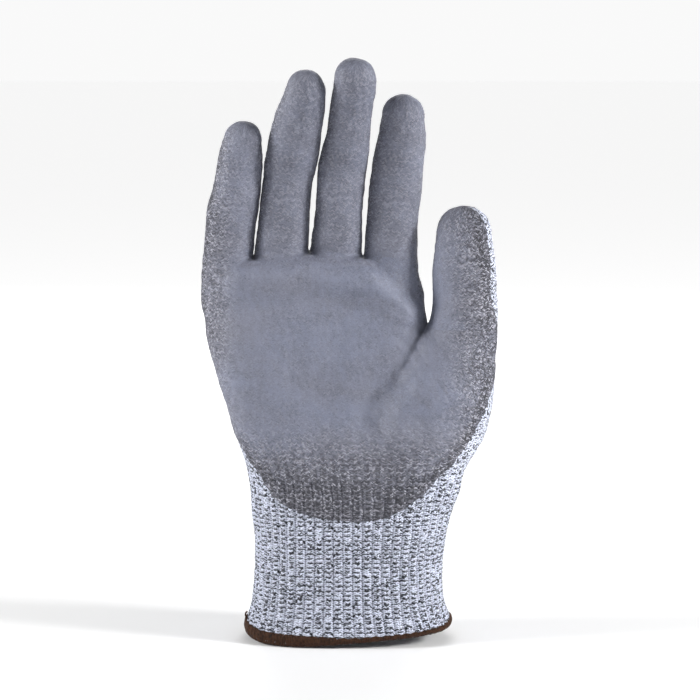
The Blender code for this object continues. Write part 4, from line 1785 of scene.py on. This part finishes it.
@dataclass
class Studio:
    """The floor, the lights and the camera."""

    look_at: tuple[float, float, float] = (0.0, 0.0, 0.1215)
    distance: float = 1.15
    lens: float = 142.0
    rise: float = 6.0
    floor_size: float = 60.0
    glow: tuple[float, float, float] = (0.71, 0.71, 0.71)
    glow_band: tuple[float, float] = (0.25, 1.5)
    sky_level: float = 0.95
    sky_above: float = 0.17
    sky_band: tuple[float, float] = (0.12, 0.40)

    def paper(self) -> bpy.types.Material:
        """Pale paper whose far parts glow, as a lit sweep does."""
        graph = Graph("studio_floor")
        place = graph.node("ShaderNodeTexCoord").outputs["Object"]
        away = graph.node("ShaderNodeVectorMath", {"operation": "LENGTH"}, {0: place})
        share = Signal(graph, away.outputs["Value"]).between(*self.glow_band)
        glow = graph.blend(share, (0.0, 0.0, 0.0), self.glow)
        return graph.finish((0.86, 0.86, 0.86), 0.95, None, Emission_Color=glow, Emission_Strength=1.0)

    def floor(self) -> None:
        """A plain pale floor under the glove."""
        half = self.floor_size / 2
        mesh = bpy.data.meshes.new("floor")
        corners = [(x * half, y * half, 0.0) for x, y in ((-1, -1), (1, -1), (1, 1), (-1, 1))]
        mesh.from_pydata(corners, [], [(0, 1, 2, 3)])
        made = bpy.data.objects.new("floor", mesh)
        bpy.context.scene.collection.objects.link(made)
        mesh.materials.append(self.paper())

    def light(self, name: str, place: tuple[float, float, float], size: float, power: float) -> None:
        """A soft square light that faces the glove."""
        lamp = bpy.data.lights.new(name, "AREA")
        lamp.size = size
        lamp.energy = power
        made = bpy.data.objects.new(name, lamp)
        made.location = place
        made.rotation_euler = (Vector(self.look_at) - Vector(place)).to_track_quat("-Z", "Y").to_euler()
        bpy.context.scene.collection.objects.link(made)

    def build(self) -> None:
        """Sets up the whole studio."""
        self.floor()
        world = bpy.data.worlds.new("studio")
        world.use_nodes = True
        sky = Tree(world.node_tree)
        ahead = sky.node("ShaderNodeTexCoord").outputs["Generated"]
        rise = sky.node("ShaderNodeSeparateXYZ", None, {0: ahead}).outputs[2]
        height = Signal(sky, rise).size().between(*self.sky_band)
        power = height * (self.sky_above - self.sky_level) + self.sky_level
        glow = sky.node("ShaderNodeBackground", None, {"Color": (1.0, 1.0, 1.0, 1.0), "Strength": power})
        sky.node("ShaderNodeOutputWorld", None, {"Surface": glow.outputs[0]})
        bpy.context.scene.world = world
        bpy.context.scene.view_settings.view_transform = "Standard"
        self.light("key", (1.15, -0.42, 0.62), 0.30, 20.5)
        self.light("second", (-1.10, -0.22, 0.55), 0.34, 13.5)
        self.light("back_fill", (0.1, 1.2, 0.9), 0.9, 11.0)
        camera = bpy.data.cameras.new("camera")
        camera.lens = self.lens
        camera.sensor_width = 36.0
        camera.clip_start = 0.02
        made = bpy.data.objects.new("camera", camera)
        bpy.context.scene.collection.objects.link(made)
        tilt = math.radians(self.rise)
        eye = Vector(self.look_at) + self.distance * Vector((0.0, -math.cos(tilt), math.sin(tilt)))
        made.location = eye
        made.rotation_euler = (Vector(self.look_at) - eye).to_track_quat("-Z", "Y").to_euler()
        bpy.context.scene.camera = made


def main() -> None:
    """Builds the glove piece by piece, then the studio."""
    logging.basicConfig(level=logging.INFO, format="%(name)s %(message)s")
    finishes = {
        Slot.KNIT: HeatherKnit().make(),
        Slot.COATING: GreyCoating().make(),
        Slot.THREAD: BrownThread().make(),
        Slot.ELASTIC: ElasticYarn().make(),
    }
    body = Body()
    shop = Workshop(body, StitchMap(body), Sculpt(), CoatLine(body), finishes)
    Studio().build()
    Cuff(Hem()).build(shop)
    skin = body_skin(body)
    LOG.info("skin: %d points", len(skin.points))
    owner, above = body.owners(skin.points)
    Hand().build(shop, skin, above)
    for number, digit in enumerate(body.digits):
        Finger(digit).build(shop, skin, owner, above, number)


if __name__ == "__main__":
    main()
